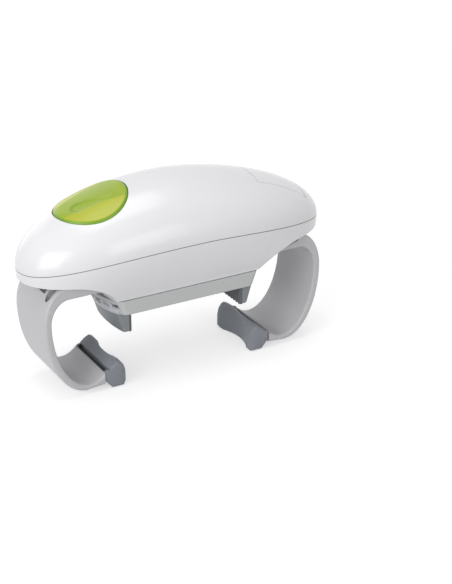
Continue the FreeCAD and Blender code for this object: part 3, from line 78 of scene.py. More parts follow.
class Signal:
    """A shader socket that can be used in Python arithmetic."""

    def __init__(self, graph: "Graph", socket: bpy.types.NodeSocket) -> None:
        """Wraps an output socket of a graph."""
        self.graph = graph
        self.socket = socket

    def _math(self, operation: str, *values: "Signal | float") -> "Signal":
        """Adds a Math node on the given values."""
        return self.graph.node("ShaderNodeMath", {"operation": operation}, dict(enumerate(values)))

    def __add__(self, other: "Signal | float") -> "Signal":
        """Sum."""
        return self._math("ADD", self, other)

    __radd__ = __add__

    def __sub__(self, other: "Signal | float") -> "Signal":
        """Difference."""
        return self._math("SUBTRACT", self, other)

    def __rsub__(self, other: float) -> "Signal":
        """Difference, reflected."""
        return self._math("SUBTRACT", other, self)

    def __mul__(self, other: "Signal | float") -> "Signal":
        """Product."""
        return self._math("MULTIPLY", self, other)

    __rmul__ = __mul__

    def __truediv__(self, other: "Signal | float") -> "Signal":
        """Quotient."""
        return self._math("DIVIDE", self, other)

    def __pow__(self, exponent: float) -> "Signal":
        """The value raised to a power."""
        return self._math("POWER", self, exponent)

    def __abs__(self) -> "Signal":
        """The value without its sign."""
        return self._math("ABSOLUTE", self)

    def clamped(self) -> "Signal":
        """The value kept between 0 and 1."""
        return self.graph.node("ShaderNodeClamp", {}, {"Value": self})

    def step(self, low: float, high: float) -> "Signal":
        """0 below low, 1 above high and 3 t² - 2 t³ at the share t of the way between them."""
        settings = {"interpolation_type": "SMOOTHSTEP"}
        return self.graph.node("ShaderNodeMapRange", settings,
                               {"Value": self, "From Min": low, "From Max": high})


class Graph:
    """The node tree of a material or of the world, with its shader."""

    def __init__(self, tree: bpy.types.NodeTree, shader: bpy.types.Node,
                 material: "bpy.types.Material | None" = None) -> None:
        """Works on a node tree.

        Args:
            tree: the node tree.
            shader: its shader.
            material: the material that it belongs to, if any.
        """
        self.tree = tree
        self.shader = shader
        self.material = material

    @classmethod
    def of_material(cls, name: str) -> "Graph":
        """Makes a material with one Principled shader.

        Args:
            name: the material's name.

        Returns:
            The graph of its node tree.
        """
        material = bpy.data.materials.new(name)
        material.use_nodes = True
        tree = material.node_tree
        tree.nodes.clear()
        output = tree.nodes.new("ShaderNodeOutputMaterial")
        shader = tree.nodes.new("ShaderNodeBsdfPrincipled")
        tree.links.new(shader.outputs[0], output.inputs["Surface"])
        return cls(tree, shader, material)

    def node(self, kind: str, settings: dict, values: dict, output: int | str = 0) -> Signal:
        """Adds any node.

        Args:
            kind: the node's type.
            settings: properties such as an operation, set before the sockets.
            values: numbers, colours or signals for the input sockets, by name or index.
            output: which output to return.

        Returns:
            The chosen output as a signal.
        """
        node = self.tree.nodes.new(kind)
        for key, value in settings.items():
            setattr(node, key, value)
        for key, value in values.items():
            self.plug(node.inputs[key], value)
        return Signal(self, node.outputs[output])

    def plug(self, socket: bpy.types.NodeSocket, value: "Signal | float | tuple") -> None:
        """Links a signal to a socket, or sets the socket's constant.

        Args:
            socket: an input socket.
            value: the signal, number or colour that it gets.
        """
        if isinstance(value, Signal):
            self.tree.links.new(value.socket, socket)
        else:
            socket.default_value = value

    def place(self) -> Signal:
        """The point's own place in the object's frame, in metres."""
        return self.node("ShaderNodeTexCoord", {}, {}, "Object")

    def axis(self, name: str) -> Signal:
        """One coordinate of that place, in millimetres."""
        return self.node("ShaderNodeSeparateXYZ", {}, {0: self.place()}, name) * (1 / MM)

    def noise(self, per_metre: float, detail: float = 2.0) -> Signal:
        """Even noise from 0 to 1, with so many features per metre and so many finer layers."""
        values = {"Vector": self.place(), "Scale": per_metre, "Detail": detail}
        return self.node("ShaderNodeTexNoise", {}, values, "Fac")

    def blend(self, factor: "Signal | float", low: "Signal | tuple", high: "Signal | tuple") -> Signal:
        """The low colour where the factor is 0, the high one where it is 1 and a mix between."""
        return self.node("ShaderNodeMix", {"data_type": "RGBA"}, {0: factor, 6: low, 7: high}, 2)

    def bump(self, height: Signal, distance: float) -> None:
        """Feeds a height to the shader's normal."""
        self.set(Normal=self.node("ShaderNodeBump", {}, {"Height": height, "Distance": distance}))

    def set(self, **values: "Signal | float | tuple") -> None:
        """Sets shader sockets, with underscores for the spaces in their names."""
        for key, value in values.items():
            self.plug(self.shader.inputs[key.replace("_", " ")], value)


def shade(tone: Triple, factor: float = 1.0) -> tuple[float, float, float, float]:
    """A colour in linear light from display values of 0 to 255, paler or darker by a factor.

    A display value v from 0 to 1 is ((v + 0.055) / 1.055) to the power 2.4 in linear light, and
    v / 12.92 where it is very dark.

    Args:
        tone: red, green and blue as a screen shows them.
        factor: over 1 for a paler colour.

    Returns:
        Red, green, blue and an alpha of 1.
    """
    display = [min(1.0, value * factor / 255) for value in tone]
    return (*(v / 12.92 if v <= 0.04 else ((v + 0.055) / 1.055) ** 2.4 for v in display), 1.0)


# ---- finishes

@dataclass(frozen=True)
class Plastic:
    """A moulded plastic or rubber: a slow drift of tone, a grain in the surface and a gloss."""

    name: str
    tone: Triple
    roughness: float
    drift: float = 0.02
    grain_per_metre: float = 4000.0
    grain_height: float = 0.000004
    coat: float = 0.0
    coat_roughness: float = 0.08
    refraction: float = 1.5
    drift_per_metre: float = 45.0
    drift_gloss: float = 0.05
    grain_gloss: float = 0.06

    def tint(self, graph: Graph, slow: Signal) -> Signal:
        """The base colour, which drifts between two close tones."""
        return graph.blend(slow, shade(self.tone, 1 - self.drift), shade(self.tone, 1 + self.drift))

    def material(self) -> bpy.types.Material:
        """Builds the finish.

        Returns:
            A material whose tone drifts slowly, with a fine grain in its normal and gloss.
        """
        graph = Graph.of_material(self.name)
        slow, fine = graph.noise(self.drift_per_metre), graph.noise(self.grain_per_metre)
        least = self.roughness - (self.drift_gloss + self.grain_gloss) / 2
        graph.set(Base_Color=self.tint(graph, slow), IOR=self.refraction, Coat_Weight=self.coat,
                  Coat_Roughness=self.coat_roughness,
                  Roughness=(slow * self.drift_gloss + fine * self.grain_gloss + least).clamped())
        graph.bump(fine, self.grain_height)
        return graph.material


@dataclass(frozen=True)
class HousingPlastic(Plastic):
    """The housing's white plastic, with a fine shadow line along the joint between the shells."""

    line: Triple = (172, 163, 156)
    line_half: float = 0.24
    line_soft: float = 0.06

    def tint(self, graph: Graph, slow: Signal) -> Signal:
        """White, and the line's tone within its half width of the joint's height.

        The joint falls from its peak by (distance to the peak / the peak's distance to the end) raised
        to that end's power, as in EggForm.seam.

        Args:
            graph: the material's graph.
            slow: the slow drift of tone.

        Returns:
            The base colour.
        """
        form = EggForm()
        x, z = graph.axis("X"), graph.axis("Z")
        peak_x, peak_z = form.seam_peak
        drops = [((x - peak_x) / (end - peak_x)).clamped() ** power * (peak_z - low)
                 for end, power, low in zip((form.nose, form.tail), form.seam_powers, form.seam_ends)]
        away = abs(drops[0] + drops[1] + z - peak_z)
        white = away.step(self.line_half - self.line_soft, self.line_half + self.line_soft)
        return graph.blend(white, shade(self.line), super().tint(graph, slow))


@dataclass(frozen=True)
class ButtonPlastic(Plastic):
    """The button's clear green plastic: greener in its dish, with painted sheen on its flanks and painted shade at
    the rim and mark.
    """

    # painted sheen on the flanks
    flank: Triple = (184, 188, 42)
    # painted shade at the rim
    rim: Triple = (122, 164, 40)
    # painted shade along the thumb mark's outline
    mark: Triple = (104, 146, 24)
    mark_share: float = 0.5
    mark_rise: Pair = (0.6, 1.0)
    mark_fall: Pair = (1.1, 1.5)
    flank_share: float = 0.85
    flank_soft: float = 0.5
    rim_rise: Pair = (-1.2, -0.8)

    def tint(self, graph: Graph, slow: Signal) -> Signal:
        """The dish's tone inside the crease, a painted sheen outside it and painted shade at the edge.

        The thumb mark's outline gets painted shade, where the distance from its spine, or from the spine's end
        before its start, is about its half width there.

        Args:
            graph: the material's graph.
            slow: the slow drift of tone.

        Returns:
            The base colour.
        """
        cap = ButtonCap()
        x, side, z = graph.axis("X"), graph.axis("Y"), graph.axis("Z")
        along = (x - cap.middle[0]) * cap.along[0] + (z - cap.middle[2]) * cap.along[2]
        across = abs(side)
        # painted sheen on the flanks, outside the crease
        flank = (across - along * cap.crease_slope).step(cap.crease - self.flank_soft, cap.crease + self.flank_soft)
        # painted shade along the rim
        edge = ((along * along + across * across) ** 0.5).step(*(cap.radius + part for part in self.rim_rise))
        # painted shade along the thumb mark's outline
        past_start = along + cap.mark_start
        reach = (past_start / cap.mark_length).clamped()
        width = (1 - reach) ** cap.mark_taper * cap.mark_radius + cap.mark_point
        before = (past_start - abs(past_start)) / 2
        aside = side + reach * cap.mark_drift + cap.mark_side
        away = (before * before + aside * aside) ** 0.5 / width
        outline = away.step(*self.mark_rise) * (1 - away.step(*self.mark_fall)) * (1 - reach)
        dish = graph.blend(outline * self.mark_share, super().tint(graph, slow), shade(self.mark))
        body = graph.blend(flank * self.flank_share, dish, shade(self.flank))
        return graph.blend(edge, body, shade(self.rim))


@dataclass(frozen=True)
class PadRubber(Plastic):
    """The arm pads' rubber, with painted shade in the groove along the arm's end."""

    # painted shade in the groove
    groove: Triple = (52, 54, 54)
    groove_top: Pair = (-32.4, -31.7)  # heights over which its shade ends
    near_wall: Pair = (-0.2, 0.1)  # places over which it starts, from the inner wall
    soft: float = 0.4

    def tint(self, graph: Graph, slow: Signal) -> Signal:
        """The rubber's tone, and painted shade in the groove between its walls and below the pad's top.

        Args:
            graph: the material's graph.
            slow: the slow drift of tone.

        Returns:
            The base colour.
        """
        pad = GripPad()
        near, far = pad.groove
        outward, across, up = abs(graph.axis("X")), abs(graph.axis("Y")), graph.axis("Z")
        ends = pad.half - pad.end_wall
        # where the groove's painted shade lies: between its walls, below the pad's top and inside its end walls
        inside = outward.step(*(near + part for part in self.near_wall)) * (1 - outward.step(far, far + self.soft))
        deep = (1 - up.step(*self.groove_top)) * (1 - across.step(ends, ends + self.soft))
        return graph.blend(inside * deep, super().tint(graph, slow), shade(self.groove))


@dataclass(frozen=True)
class Metal:
    """A plain metal, drawn or turned."""

    name: str
    tone: Triple
    roughness: float
    grain_per_metre: float = 2500.0
    grain_tone: float = 0.93
    grain_gloss: float = 0.15

    def material(self) -> bpy.types.Material:
        """Builds the finish.

        Returns:
            A metallic material with a fine grain in its tone and gloss.
        """
        graph = Graph.of_material(self.name)
        fine = graph.noise(self.grain_per_metre)
        graph.set(Base_Color=graph.blend(fine, shade(self.tone, self.grain_tone), shade(self.tone)), Metallic=1.0,
                  Roughness=(fine * self.grain_gloss + self.roughness).clamped())
        return graph.material


class Finish(Enum):
    """The finishes of the jar opener, by the record's material slots."""

    HOUSING_WHITE = HousingPlastic("housing_white", (237, 237, 240), 0.22, 0.003, 700.0, 0.0000012, 0.15)
    BUTTON_GREEN = ButtonPlastic("button_green", (152, 176, 26), 0.34, 0.02, 2500.0, 0.000002, 0.0)
    ARM_GREY = Plastic("arm_grey", (197, 197, 200), 0.4, 0.008, 5000.0, 0.000006)
    PAD_RUBBER = PadRubber("pad_rubber", (138, 142, 149), 0.6, 0.03, 6000.0, 0.00001)
    CARRIAGE_GREY = Plastic("carriage_grey", (198, 200, 200), 0.36, 0.008, 5000.0)
    SLIDER_GREY = Plastic("slider_grey", (212, 215, 219), 0.4, 0.01, 5000.0)
    JAW_SLATE = Plastic("jaw_slate", (134, 138, 142), 0.42, 0.02, 5000.0, 0.000006)
    STOP_RUBBER = Plastic("stop_rubber", (96, 98, 101), 0.62, 0.03, 6000.0, 0.00001)
    GEAR_NYLON = Plastic("gear_nylon", (232, 230, 222), 0.4, 0.01)
    FRAME_BLACK = Plastic("frame_black", (45, 45, 46), 0.5, 0.03)
    CELL_WRAP = Plastic("cell_wrap", (52, 52, 56), 0.25)
    BOARD_GREEN = Plastic("board_green", (30, 98, 52), 0.35, 0.04)
    SWITCH_BLACK = Plastic("switch_black", (40, 40, 40), 0.4)
    WASHER_FELT = Plastic("washer_felt", (140, 136, 128), 0.9, 0.08, 3000.0, 0.00005)
    SPACER_BRASS = Metal("spacer_brass", (214, 182, 106), 0.25)
    FASTENER_STEEL = Metal("fastener_steel", (196, 196, 196), 0.28)
    MOTOR_STEEL = Metal("motor_steel", (188, 188, 190), 0.3)
    CONTACT_METAL = Metal("contact_metal", (214, 214, 212), 0.18)


class Wardrobe:
    """Makes each finish once and dresses nodes and pieces in it."""

    def __init__(self, frame: dict) -> None:
        """Keeps the loaded frame.

        Args:
            frame: the frame's nodes and record.
        """
        self.nodes = frame["nodes"]
        self.slots = {entry["node"]: entry["material_slot"] for entry in frame["record"]["subparts"]}
        bodies = frame["record"]["behaviour"]["bodies"]
        self.bodies = {node: body for body, group in bodies.items() for node in group}
        self.made: dict[Finish, bpy.types.Material] = {}

    def dress(self, thing: bpy.types.Object, slot: str) -> None:
        """Gives an object the finish of a material slot.

        Args:
            thing: a CAD node or a new piece.
            slot: the record's slot name.
        """
        finish = Finish[slot.upper()]
        if finish not in self.made:
            self.made[finish] = finish.value.material()
        if not thing.material_slots:
            thing.data.materials.append(None)
        for place in thing.material_slots:
            place.material = self.made[finish]

    def dress_nodes(self) -> None:
        """Dresses every CAD node in the finish of its material slot."""
        for name, slot in self.slots.items():
            self.dress(self.nodes[name], slot)
            log.info("node %s in %s", name, slot)

    def stand_in(self, piece: bpy.types.Object, node: str) -> None:
        """Lets a detailed piece stand for a CAD node: its body, its slot and its finish.

        Args:
            piece: the detailed piece.
            node: the CAD node's name.
        """
        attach(piece, self.bodies[node])
        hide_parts(node)
        self.dress(piece, self.slots[node])
        log.info("piece %s stands for %s", piece.name, node)


# ---- mesh making

def add_object(name: str, data: bpy.types.ID) -> bpy.types.Object:
    """Puts a mesh, lamp or camera into the scene.

    Args:
        name: the object's name.
        data: what it holds.

    Returns:
        The object.
    """
    thing = bpy.data.objects.new(name, data)
    bpy.context.collection.objects.link(thing)
    return thing


def make_piece(name: str, points: np.ndarray, faces: list[list[int]], crease: float) -> bpy.types.Object:
    """Makes an object of points in millimetres and faces, smooth up to a crease.

    Args:
        name: the piece's name.
        points: (points, 3) array.
        faces: lists of point numbers.
        crease: the angle in degrees over which an edge stays sharp.

    Returns:
        The object.
    """
    mesh = bpy.data.meshes.new(name)
    mesh.from_pydata((points * MM).tolist(), [], faces)
    shape = bmesh.new()
    shape.from_mesh(mesh)
    bmesh.ops.recalc_face_normals(shape, faces=shape.faces)
    shape.to_mesh(mesh)
    shape.free()
    mesh.shade_smooth()
    mesh.set_sharp_from_angle(angle=math.radians(crease))
    return add_object(name, mesh)


def tube_faces(rings: np.ndarray, start: int = 0) -> list[list[int]]:
    """Joins each ring to the next, with a flat lid on each end.

    Args:
        rings: (rings, around, 3) array.
        start: the number of the first ring's first point.

    Returns:
        Lists of point numbers.
    """
    index = start + np.arange(rings.shape[0] * rings.shape[1]).reshape(rings.shape[:2])
    near, far = index[:-1], index[1:]
    sides = np.stack([near, np.roll(near, -1, 1), np.roll(far, -1, 1), far], -1).reshape(-1, 4)
    return sides.tolist() + [index[0, ::-1].tolist(), index[-1].tolist()]


def make_tube(name: str, coordinates: tuple[np.ndarray, ...], crease: float) -> bpy.types.Object:
    """Makes a closed piece of rings, from x, y and z that each spread over (rings, around)."""
    rings = np.stack(np.broadcast_arrays(*coordinates), -1)
    return make_piece(name, rings.reshape(-1, 3), tube_faces(rings), crease)


def rounded(corners: np.ndarray, radius: float, passes: int = 3) -> np.ndarray:
    """Rounds the corners of closed outlines.

    Each corner gets a point before and after it at the radius, or at 0.45 of the side if that is
    nearer.  Then every side is cut at a quarter and three quarters, several times over.

    Args:
        corners: (outlines, corners, 2) array.
        radius: how far from a corner its rounding starts.
        passes: how many times the sides are cut.

    Returns:
        The rounded outlines, as (outlines, points, 2).
    """
    def near(other: np.ndarray) -> np.ndarray:
        """Points beside the corners on the way to their neighbours.

        Args:
            other: each corner's neighbour on one side.

        Returns:
            One point for each corner.
        """
        way = other - corners
        length = np.linalg.norm(way, axis=2, keepdims=True)
        return corners + way * np.minimum(radius / np.maximum(length, 1e-6), 0.45)

    ring = np.stack([near(np.roll(corners, 1, 1)), corners, near(np.roll(corners, -1, 1))], axis=2)
    ring = ring.reshape(len(corners), -1, 2)
    for _ in range(passes):
        after = np.roll(ring, -1, 1)
        ring = np.stack([0.75 * ring + 0.25 * after, 0.25 * ring + 0.75 * after], axis=2)
        ring = ring.reshape(len(ring), -1, 2)
    return ring


def quarter_round(radius: float, count: int = 7) -> tuple[np.ndarray, np.ndarray]:
    """How far a rounded edge leads out, radius * sin t, and back, radius * (1 - cos t)."""
    turn = np.linspace(0, math.pi / 2, count + 1)[1:]
    return radius * np.sin(turn), radius * (1 - np.cos(turn))


def drawn_in(outlines: np.ndarray, inset: np.ndarray) -> np.ndarray:
    """Moves closed outlines inwards along their own normals.

    Args:
        outlines: (outlines, points, 2) array.
        inset: one distance for each outline.

    Returns:
        The moved outlines.
    """
    way = np.roll(outlines, -1, 1) - np.roll(outlines, 1, 1)
    normal = np.stack([way[..., 1], -way[..., 0]], -1)
    normal /= np.maximum(np.linalg.norm(normal, axis=2, keepdims=True), 1e-9)
    x, y = outlines[..., 0], outlines[..., 1]
    area = (x * np.roll(y, -1, 1) - y * np.roll(x, -1, 1)).sum(axis=1)
    return outlines - normal * (np.sign(area) * inset)[:, None, None]


def rounded_ends(low: float, high: float, radius: float, inner: int,
                 bend: int = 7) -> tuple[np.ndarray, np.ndarray]:
    """Places from one end to the other, and how far a rounded end draws the outline in at each.

    At an end the inset is radius - sqrt(radius² - (radius - distance to the end)²).

    Args:
        low: the first place.
        high: the last place.
        radius: the ends' rounding.
        inner: how many places lie between the roundings.
        bend: how many places lie on each rounding.

    Returns:
        The places and their insets.
    """
    turn = np.linspace(0, math.pi / 2, bend)
    ends = radius * (1 - np.cos(turn))
    middle = np.linspace(low + radius, high - radius, inner)
    places = np.concatenate([low + ends[:-1], middle, high - ends[-2::-1]])
    depth = np.minimum(places - low, high - places)
    inset = radius - np.sqrt(np.maximum(0, radius ** 2 - np.maximum(0, radius - depth) ** 2))
    return places, inset


# ---- housing

@dataclass(frozen=True)
class EggForm:
    """The housing's egg form, in millimetres, as formulas on whole arrays."""

    nose: float = -98.8  # X of the end with the button
    tail: float = 99.8  # X of the other end
    half: float = 38.0
    widest_x: float = 4.0  # where the form is widest
    plan_powers: Pair = (3.4, 2.5)  # how late the width closes to the nose and the tail
    seam_peak: Pair = (5.0, 44.3)  # X and Z of the shells' joint at its highest
    seam_ends: Pair = (33.6, 34.2)  # the joint's heights at the nose and the tail
    seam_powers: Pair = (2.6, 1.6)  # how late the joint falls to the nose and the tail
    crest_peak: Pair = (-4.0, 77.2)  # X and Z of the top line at its highest
    crest_powers: Pair = (1.9, 1.6)  # how late the top line falls to the nose and the tail
    base: float = 11.9
    base_power: float = 10.0  # how late the underside rises to the ends
    foot_half: float = 23.3  # half the width of the underside
    foot_power: float = 5.0  # how late that closes to the ends
    least_depth: float = 0.1
    flank_power: float = 1.6  # how soon the flanks swell from the foot
    seam_gap: float = 0.3  # between the shells
    last: float = 0.9999  # greatest share; slopes grow endless at the ends

    def share(self, x: np.ndarray, middle: float, powers: Pair) -> np.ndarray:
        """How far x is from the middle to the end on its side, raised to that side's power.

        Args:
            x: places along the housing.
            middle: where the share is 0.
            powers: the powers on the nose's and the tail's side.

        Returns:
            Shares from 0 to nearly 1.
        """
        end = np.where(x < middle, self.nose, self.tail)
        power = np.where(x < middle, *powers)
        return np.clip((x - middle) / (end - middle), 0.0, self.last) ** power

    def half_width(self, x: np.ndarray) -> np.ndarray:
        """Half the width: the widest times sqrt(1 - share)."""
        return self.half * np.sqrt(1 - self.share(x, self.widest_x, self.plan_powers))

    def seam(self, x: np.ndarray) -> np.ndarray:
        """Height of the joint between the shells: it falls from its peak by the share.

        Args:
            x: places along the housing.

        Returns:
            The joint's heights there.
        """
        middle, peak = self.seam_peak
        ends = np.where(x < middle, *self.seam_ends)
        return peak - (peak - ends) * self.share(x, middle, self.seam_powers)

    def crest(self, x: np.ndarray) -> np.ndarray:
        """Height of the top line: it falls from its peak to the joint's end by sqrt(1 - share).

        Args:
            x: places along the housing.

        Returns:
            The top line's heights there.
        """
        middle, peak = self.crest_peak
        ends = np.where(x < middle, *self.seam_ends)
        return ends + (peak - ends) * np.sqrt(1 - self.share(x, middle, self.crest_powers))

    def upper(self, p: np.ndarray) -> np.ndarray:
        """The upper form, whose section is half an ellipse on the joint.

        Args:
            p: points, with x, y and z last.

        Returns:
            (y / half width)² + (height over the joint / the crest's)² - 1, over 0 outside the form.
        """
        x, y, z = p[..., 0], p[..., 1], p[..., 2]
        joint = self.seam(x) + self.seam_gap / 2
        return (y / self.half_width(x)) ** 2 + ((z - joint) / (self.crest(x) - joint)) ** 2 - 1

    def lower(self, p: np.ndarray) -> np.ndarray:
        """The lower form, whose flanks swell from the foot to the joint by a power.

        With v as the depth under the joint over the form's whole depth there, the half width is
        foot + (widest - foot) * (1 - v raised to the flank's power).  Depth and foot close towards
        the ends by sqrt(1 - (share of the way to the end) raised to their powers).

        Args:
            p: points, with x, y and z last.

        Returns:
            How far y is beyond the half width, over the greatest one: over 0 outside the form.
        """
        x, y, z = p[..., 0], p[..., 1], p[..., 2]
        part = np.minimum(np.where(x < 0, x / self.nose, x / self.tail), self.last)
        top = self.seam(x) - self.seam_gap / 2
        low = top - (top - self.base) * np.sqrt(1 - part ** self.base_power)
        wide = self.half_width(x)
        foot = np.minimum(wide, self.foot_half * np.sqrt(1 - part ** self.foot_power))
        v = np.clip((top - z) / np.maximum(top - low, self.least_depth), 0, 1)
        return (np.abs(y) - foot - (wide - foot) * (1 - v ** self.flank_power)) / self.half

    def normals(self, level: Callable[[np.ndarray], np.ndarray], p: np.ndarray, step: float = 0.02) -> np.ndarray:
        """Unit gradients of a level function, by its differences over a small step to both sides.

        Args:
            level: upper or lower.
            p: points, with x, y and z last.
            step: the step in millimetres.

        Returns:
            One unit vector for each point.
        """
        shifts = np.eye(3) * step
        slope = np.stack([level(p + shift) - level(p - shift) for shift in shifts], -1)
        return slope / np.maximum(np.linalg.norm(slope, axis=-1, keepdims=True), 1e-12)


class Half(Enum):
    """The half of the egg form that a cover follows."""

    UPPER = "upper"
    LOWER = "lower"


@dataclass(frozen=True)
class Shell:
    """One moulded cover of the housing, drawn with the even normals of the egg form."""

    node: str
    half: Half  # the half of the form that it follows
    agreement: float = 0.93  # least cosine between a face's normal and the form's
    crease: float = 30.0  # degrees over which an edge stays sharp
    doubles: float = 1e-6  # metres within which points are joined

    def build(self, wardrobe: Wardrobe, form: EggForm) -> None:
        """Copies the CAD shell, joins its triangles and gives its outer face the form's normals.

        A corner takes the form's normal where its triangle already faces nearly that way.

        Args:
            wardrobe: the nodes and finishes.
            form: the egg form.
        """
        mesh = wardrobe.nodes[self.node].data.copy()
        mesh.name = "smooth_" + self.node
        shape = bmesh.new()
        shape.from_mesh(mesh)
        bmesh.ops.remove_doubles(shape, verts=shape.verts, dist=self.doubles)
        shape.to_mesh(mesh)
        shape.free()
        if "custom_normal" in mesh.attributes:
            mesh.attributes.remove(mesh.attributes["custom_normal"])
        mesh.shade_smooth()
        mesh.set_sharp_from_angle(angle=math.radians(self.crease))
        points = self.column(mesh.vertices, "co", 3) / MM
        corner_point = self.column(mesh.loops, "vertex_index", 1, np.int32).ravel()
        sides = self.column(mesh.polygons, "loop_total", 1, np.int32).ravel()
        facing = np.repeat(self.column(mesh.polygons, "normal", 3), sides, axis=0)
        given = self.column(mesh.corner_normals, "vector", 3)
        level = form.upper if self.half is Half.UPPER else form.lower
        wanted = form.normals(level, points)[corner_point]
        fits = (facing * wanted).sum(axis=1) > self.agreement
        mesh.normals_split_custom_set(np.where(fits[:, None], wanted, given).tolist())
        wardrobe.stand_in(add_object("smooth_" + self.node, mesh), self.node)

    @staticmethod
    def column(rows: "bpy.types.bpy_prop_collection", name: str, wide: int, kind: type = np.float32) -> np.ndarray:
        """One property of every row.

        Args:
            rows: points, corners or faces of a mesh.
            name: the property's name.
            wide: how many numbers it has.
            kind: their type.

        Returns:
            (rows, wide) array.
        """
        values = np.empty(len(rows) * wide, kind)
        rows.foreach_get(name, values)
        return values.reshape(-1, wide)


# ---- button

@dataclass(frozen=True)
class ButtonCap:
    """The start button: a dished cap with a soft rim, a skirt and a stem, on its own leaning axis."""

    middle: Triple = (-53.0, 0.0, 70.457)  # of the cap, on the egg form
    lean: float = 0.27798  # of the axis to the nose, in radians
    radius: float = 22.55
    proud: float = 0.8  # out of the form
    rim: float = 1.5
    thickness: float = 2.4
    skirt_depth: float = 12.0  # down from the middle
    skirt_wall: float = 1.6
    stem_radius: float = 3.0
    stem_top: float = -1.0  # out of the middle
    stem_end_z: float = 53.7
    crease: float = 10.3  # half the dish's width at the middle
    crease_slope: float = 0.165  # its growth along the button
    dish: float = 0.55  # depth
    fade: Pair = (2.5, 5.0)  # how far inside the edge the relief ends, and its fade
    groove: float = 0.6  # depth of the thumb mark
    mark_start: float = 9.0  # its round end, before the middle
    mark_length: float = 20.0  # from there to its point
    mark_radius: float = 4.2
    mark_taper: float = 0.8  # how late it narrows
    mark_point: float = 0.2  # half its width at the point
    mark_brim: float = 1.25  # how far it reaches past its width
    mark_side: float = 5.2  # its round end, off the middle line
    mark_drift: float = 3.6  # its point, further off
    core: float = 0.15  # radius of the smallest ring
    under_step: float = 0.8  # from the skirt to the next ring
    face_rings: int = 90
    under_rings: int = 12
    stem_rings: int = 12
    search: Pair = (-14.0, 6.0)  # least and greatest height of the face
    halvings: int = 30
    around: int = 200
    stem_around: int = 40

    @property
    def along(self) -> np.ndarray:
        """Unit vector along the button, towards the tail."""
        return np.array([math.cos(self.lean), 0.0, math.sin(self.lean)])

    @property
    def out(self) -> np.ndarray:
        """Unit vector out of the button."""
        return np.array([-math.sin(self.lean), 0.0, math.cos(self.lean)])

    def solid_point(self, u: np.ndarray, v: np.ndarray, height: np.ndarray) -> np.ndarray:
        """The middle + u along the button + v across it + the height out of it."""
        return (np.array(self.middle) + u[..., None] * self.along + v[..., None] * np.array([0.0, 1.0, 0.0])
                + height[..., None] * self.out)

    def face_height(self, form: EggForm, u: np.ndarray, v: np.ndarray) -> np.ndarray:
        """Height of the egg form, raised by what the button stands proud, found by halving.

        Args:
            form: the egg form.
            u: places along the button.
            v: places across it.

        Returns:
            Heights out of the button's middle.
        """
        low, high = (np.full(u.shape, end) for end in self.search)
        for _ in range(self.halvings):
            half = (low + high) / 2
            outside = form.upper(self.solid_point(u, v, half - self.proud)) > 0
            low, high = np.where(outside, low, half), np.where(outside, half, high)
        return high

    def relief(self, u: np.ndarray, v: np.ndarray) -> np.ndarray:
        """Depth below the form: a long dish between two creases, and a drop-shaped thumb mark in it.

        The dish is its depth * (1 - (v / crease)²).  The mark is its depth * sqrt(brim - away), where
        away is the distance from its spine over its half width, radius * (1 - share of its length)
        raised to its taper.  Both fade out towards the rim, the dish by 3 t² - 2 t³.

        Args:
            u: places along the button.
            v: places across it.

        Returns:
            Depths in millimetres.
        """
        start, way = self.fade
        fade = np.clip((self.radius - start - np.hypot(u, v)) / way, 0, 1)
        bowl = self.dish * np.maximum(0, 1 - (v / (self.crease + self.crease_slope * u)) ** 2)
        past_start = u + self.mark_start
        reach = np.clip(past_start / self.mark_length, 0, 1)
        width = self.mark_radius * (1 - reach) ** self.mark_taper + self.mark_point
        away = np.hypot(np.minimum(past_start, 0), v + self.mark_side + self.mark_drift * reach) / width
        mark = self.groove * np.clip(self.mark_brim - away, 0, 1) ** 0.5 * (reach < 1)
        return bowl * fade ** 2 * (3 - 2 * fade) + mark * fade

    def rings(self, form: EggForm) -> np.ndarray:
        """Rings from the middle of the face over the rim, down the skirt and back under the face.

        The rim lies at radius - rim * (1 - sin t), and rim * (1 - cos t) below the face.

        Args:
            form: the egg form.

        Returns:
            (rings, around, 3) array.
        """
        turn = np.linspace(0, 2 * math.pi, self.around, endpoint=False)[None, :]
        flat, inner = self.radius - self.rim, self.radius - self.skirt_wall
        face = np.linspace(self.core, flat, self.face_rings)
        under = np.linspace(inner - self.under_step, self.core, self.under_rings)
        out, back = quarter_round(self.rim)
        reach = np.concatenate([face, flat + out, [self.radius, inner, inner], under])[:, None]
        drop = np.concatenate([0 * face, back, [0, 0, 0], 0 * under])[:, None]
        u, v = reach * np.cos(turn), reach * np.sin(turn)
        height = self.face_height(form, u, v) - drop
        skirt, inside = len(face) + len(out), len(face) + len(out) + 2
        height[:len(face)] -= self.relief(u[:len(face)], v[:len(face)])
        height[skirt:inside] = -self.skirt_depth
        height[inside:] -= self.thickness
        return self.solid_point(u, v, height)

    def stem(self) -> np.ndarray:
        """Rings of the round stem, evenly from inside the cap down to its level end over the switch.

        Returns:
            (rings, around, 3) array.
        """
        turn = np.linspace(0, 2 * math.pi, self.stem_around, endpoint=False)[None, :]
        u, v = self.stem_radius * np.cos(turn), self.stem_radius * np.sin(turn)
        low = (self.stem_end_z - self.middle[2] - u * self.along[2]) / self.out[2]
        part = np.linspace(0, 1, self.stem_rings)[:, None]
        return self.solid_point(u, v, self.stem_top * (1 - part) + low * part)

    def build(self, wardrobe: Wardrobe, form: EggForm) -> None:
        """Makes the button and lets it stand for the CAD node.

        Args:
            wardrobe: the nodes and finishes.
            form: the egg form.
        """
        cap, stem = self.rings(form), self.stem()
        points = [part.reshape(-1, 3) for part in (cap, stem)]
        faces = tube_faces(cap) + tube_faces(stem, len(points[0]))
        wardrobe.stand_in(make_piece("button_cap", np.vstack(points), faces, crease=50.0), "start_button")


# ---- soft grips

class Side(Enum):
    """The end of the housing that a paired piece belongs to."""

    LEFT = -1
    RIGHT = 1


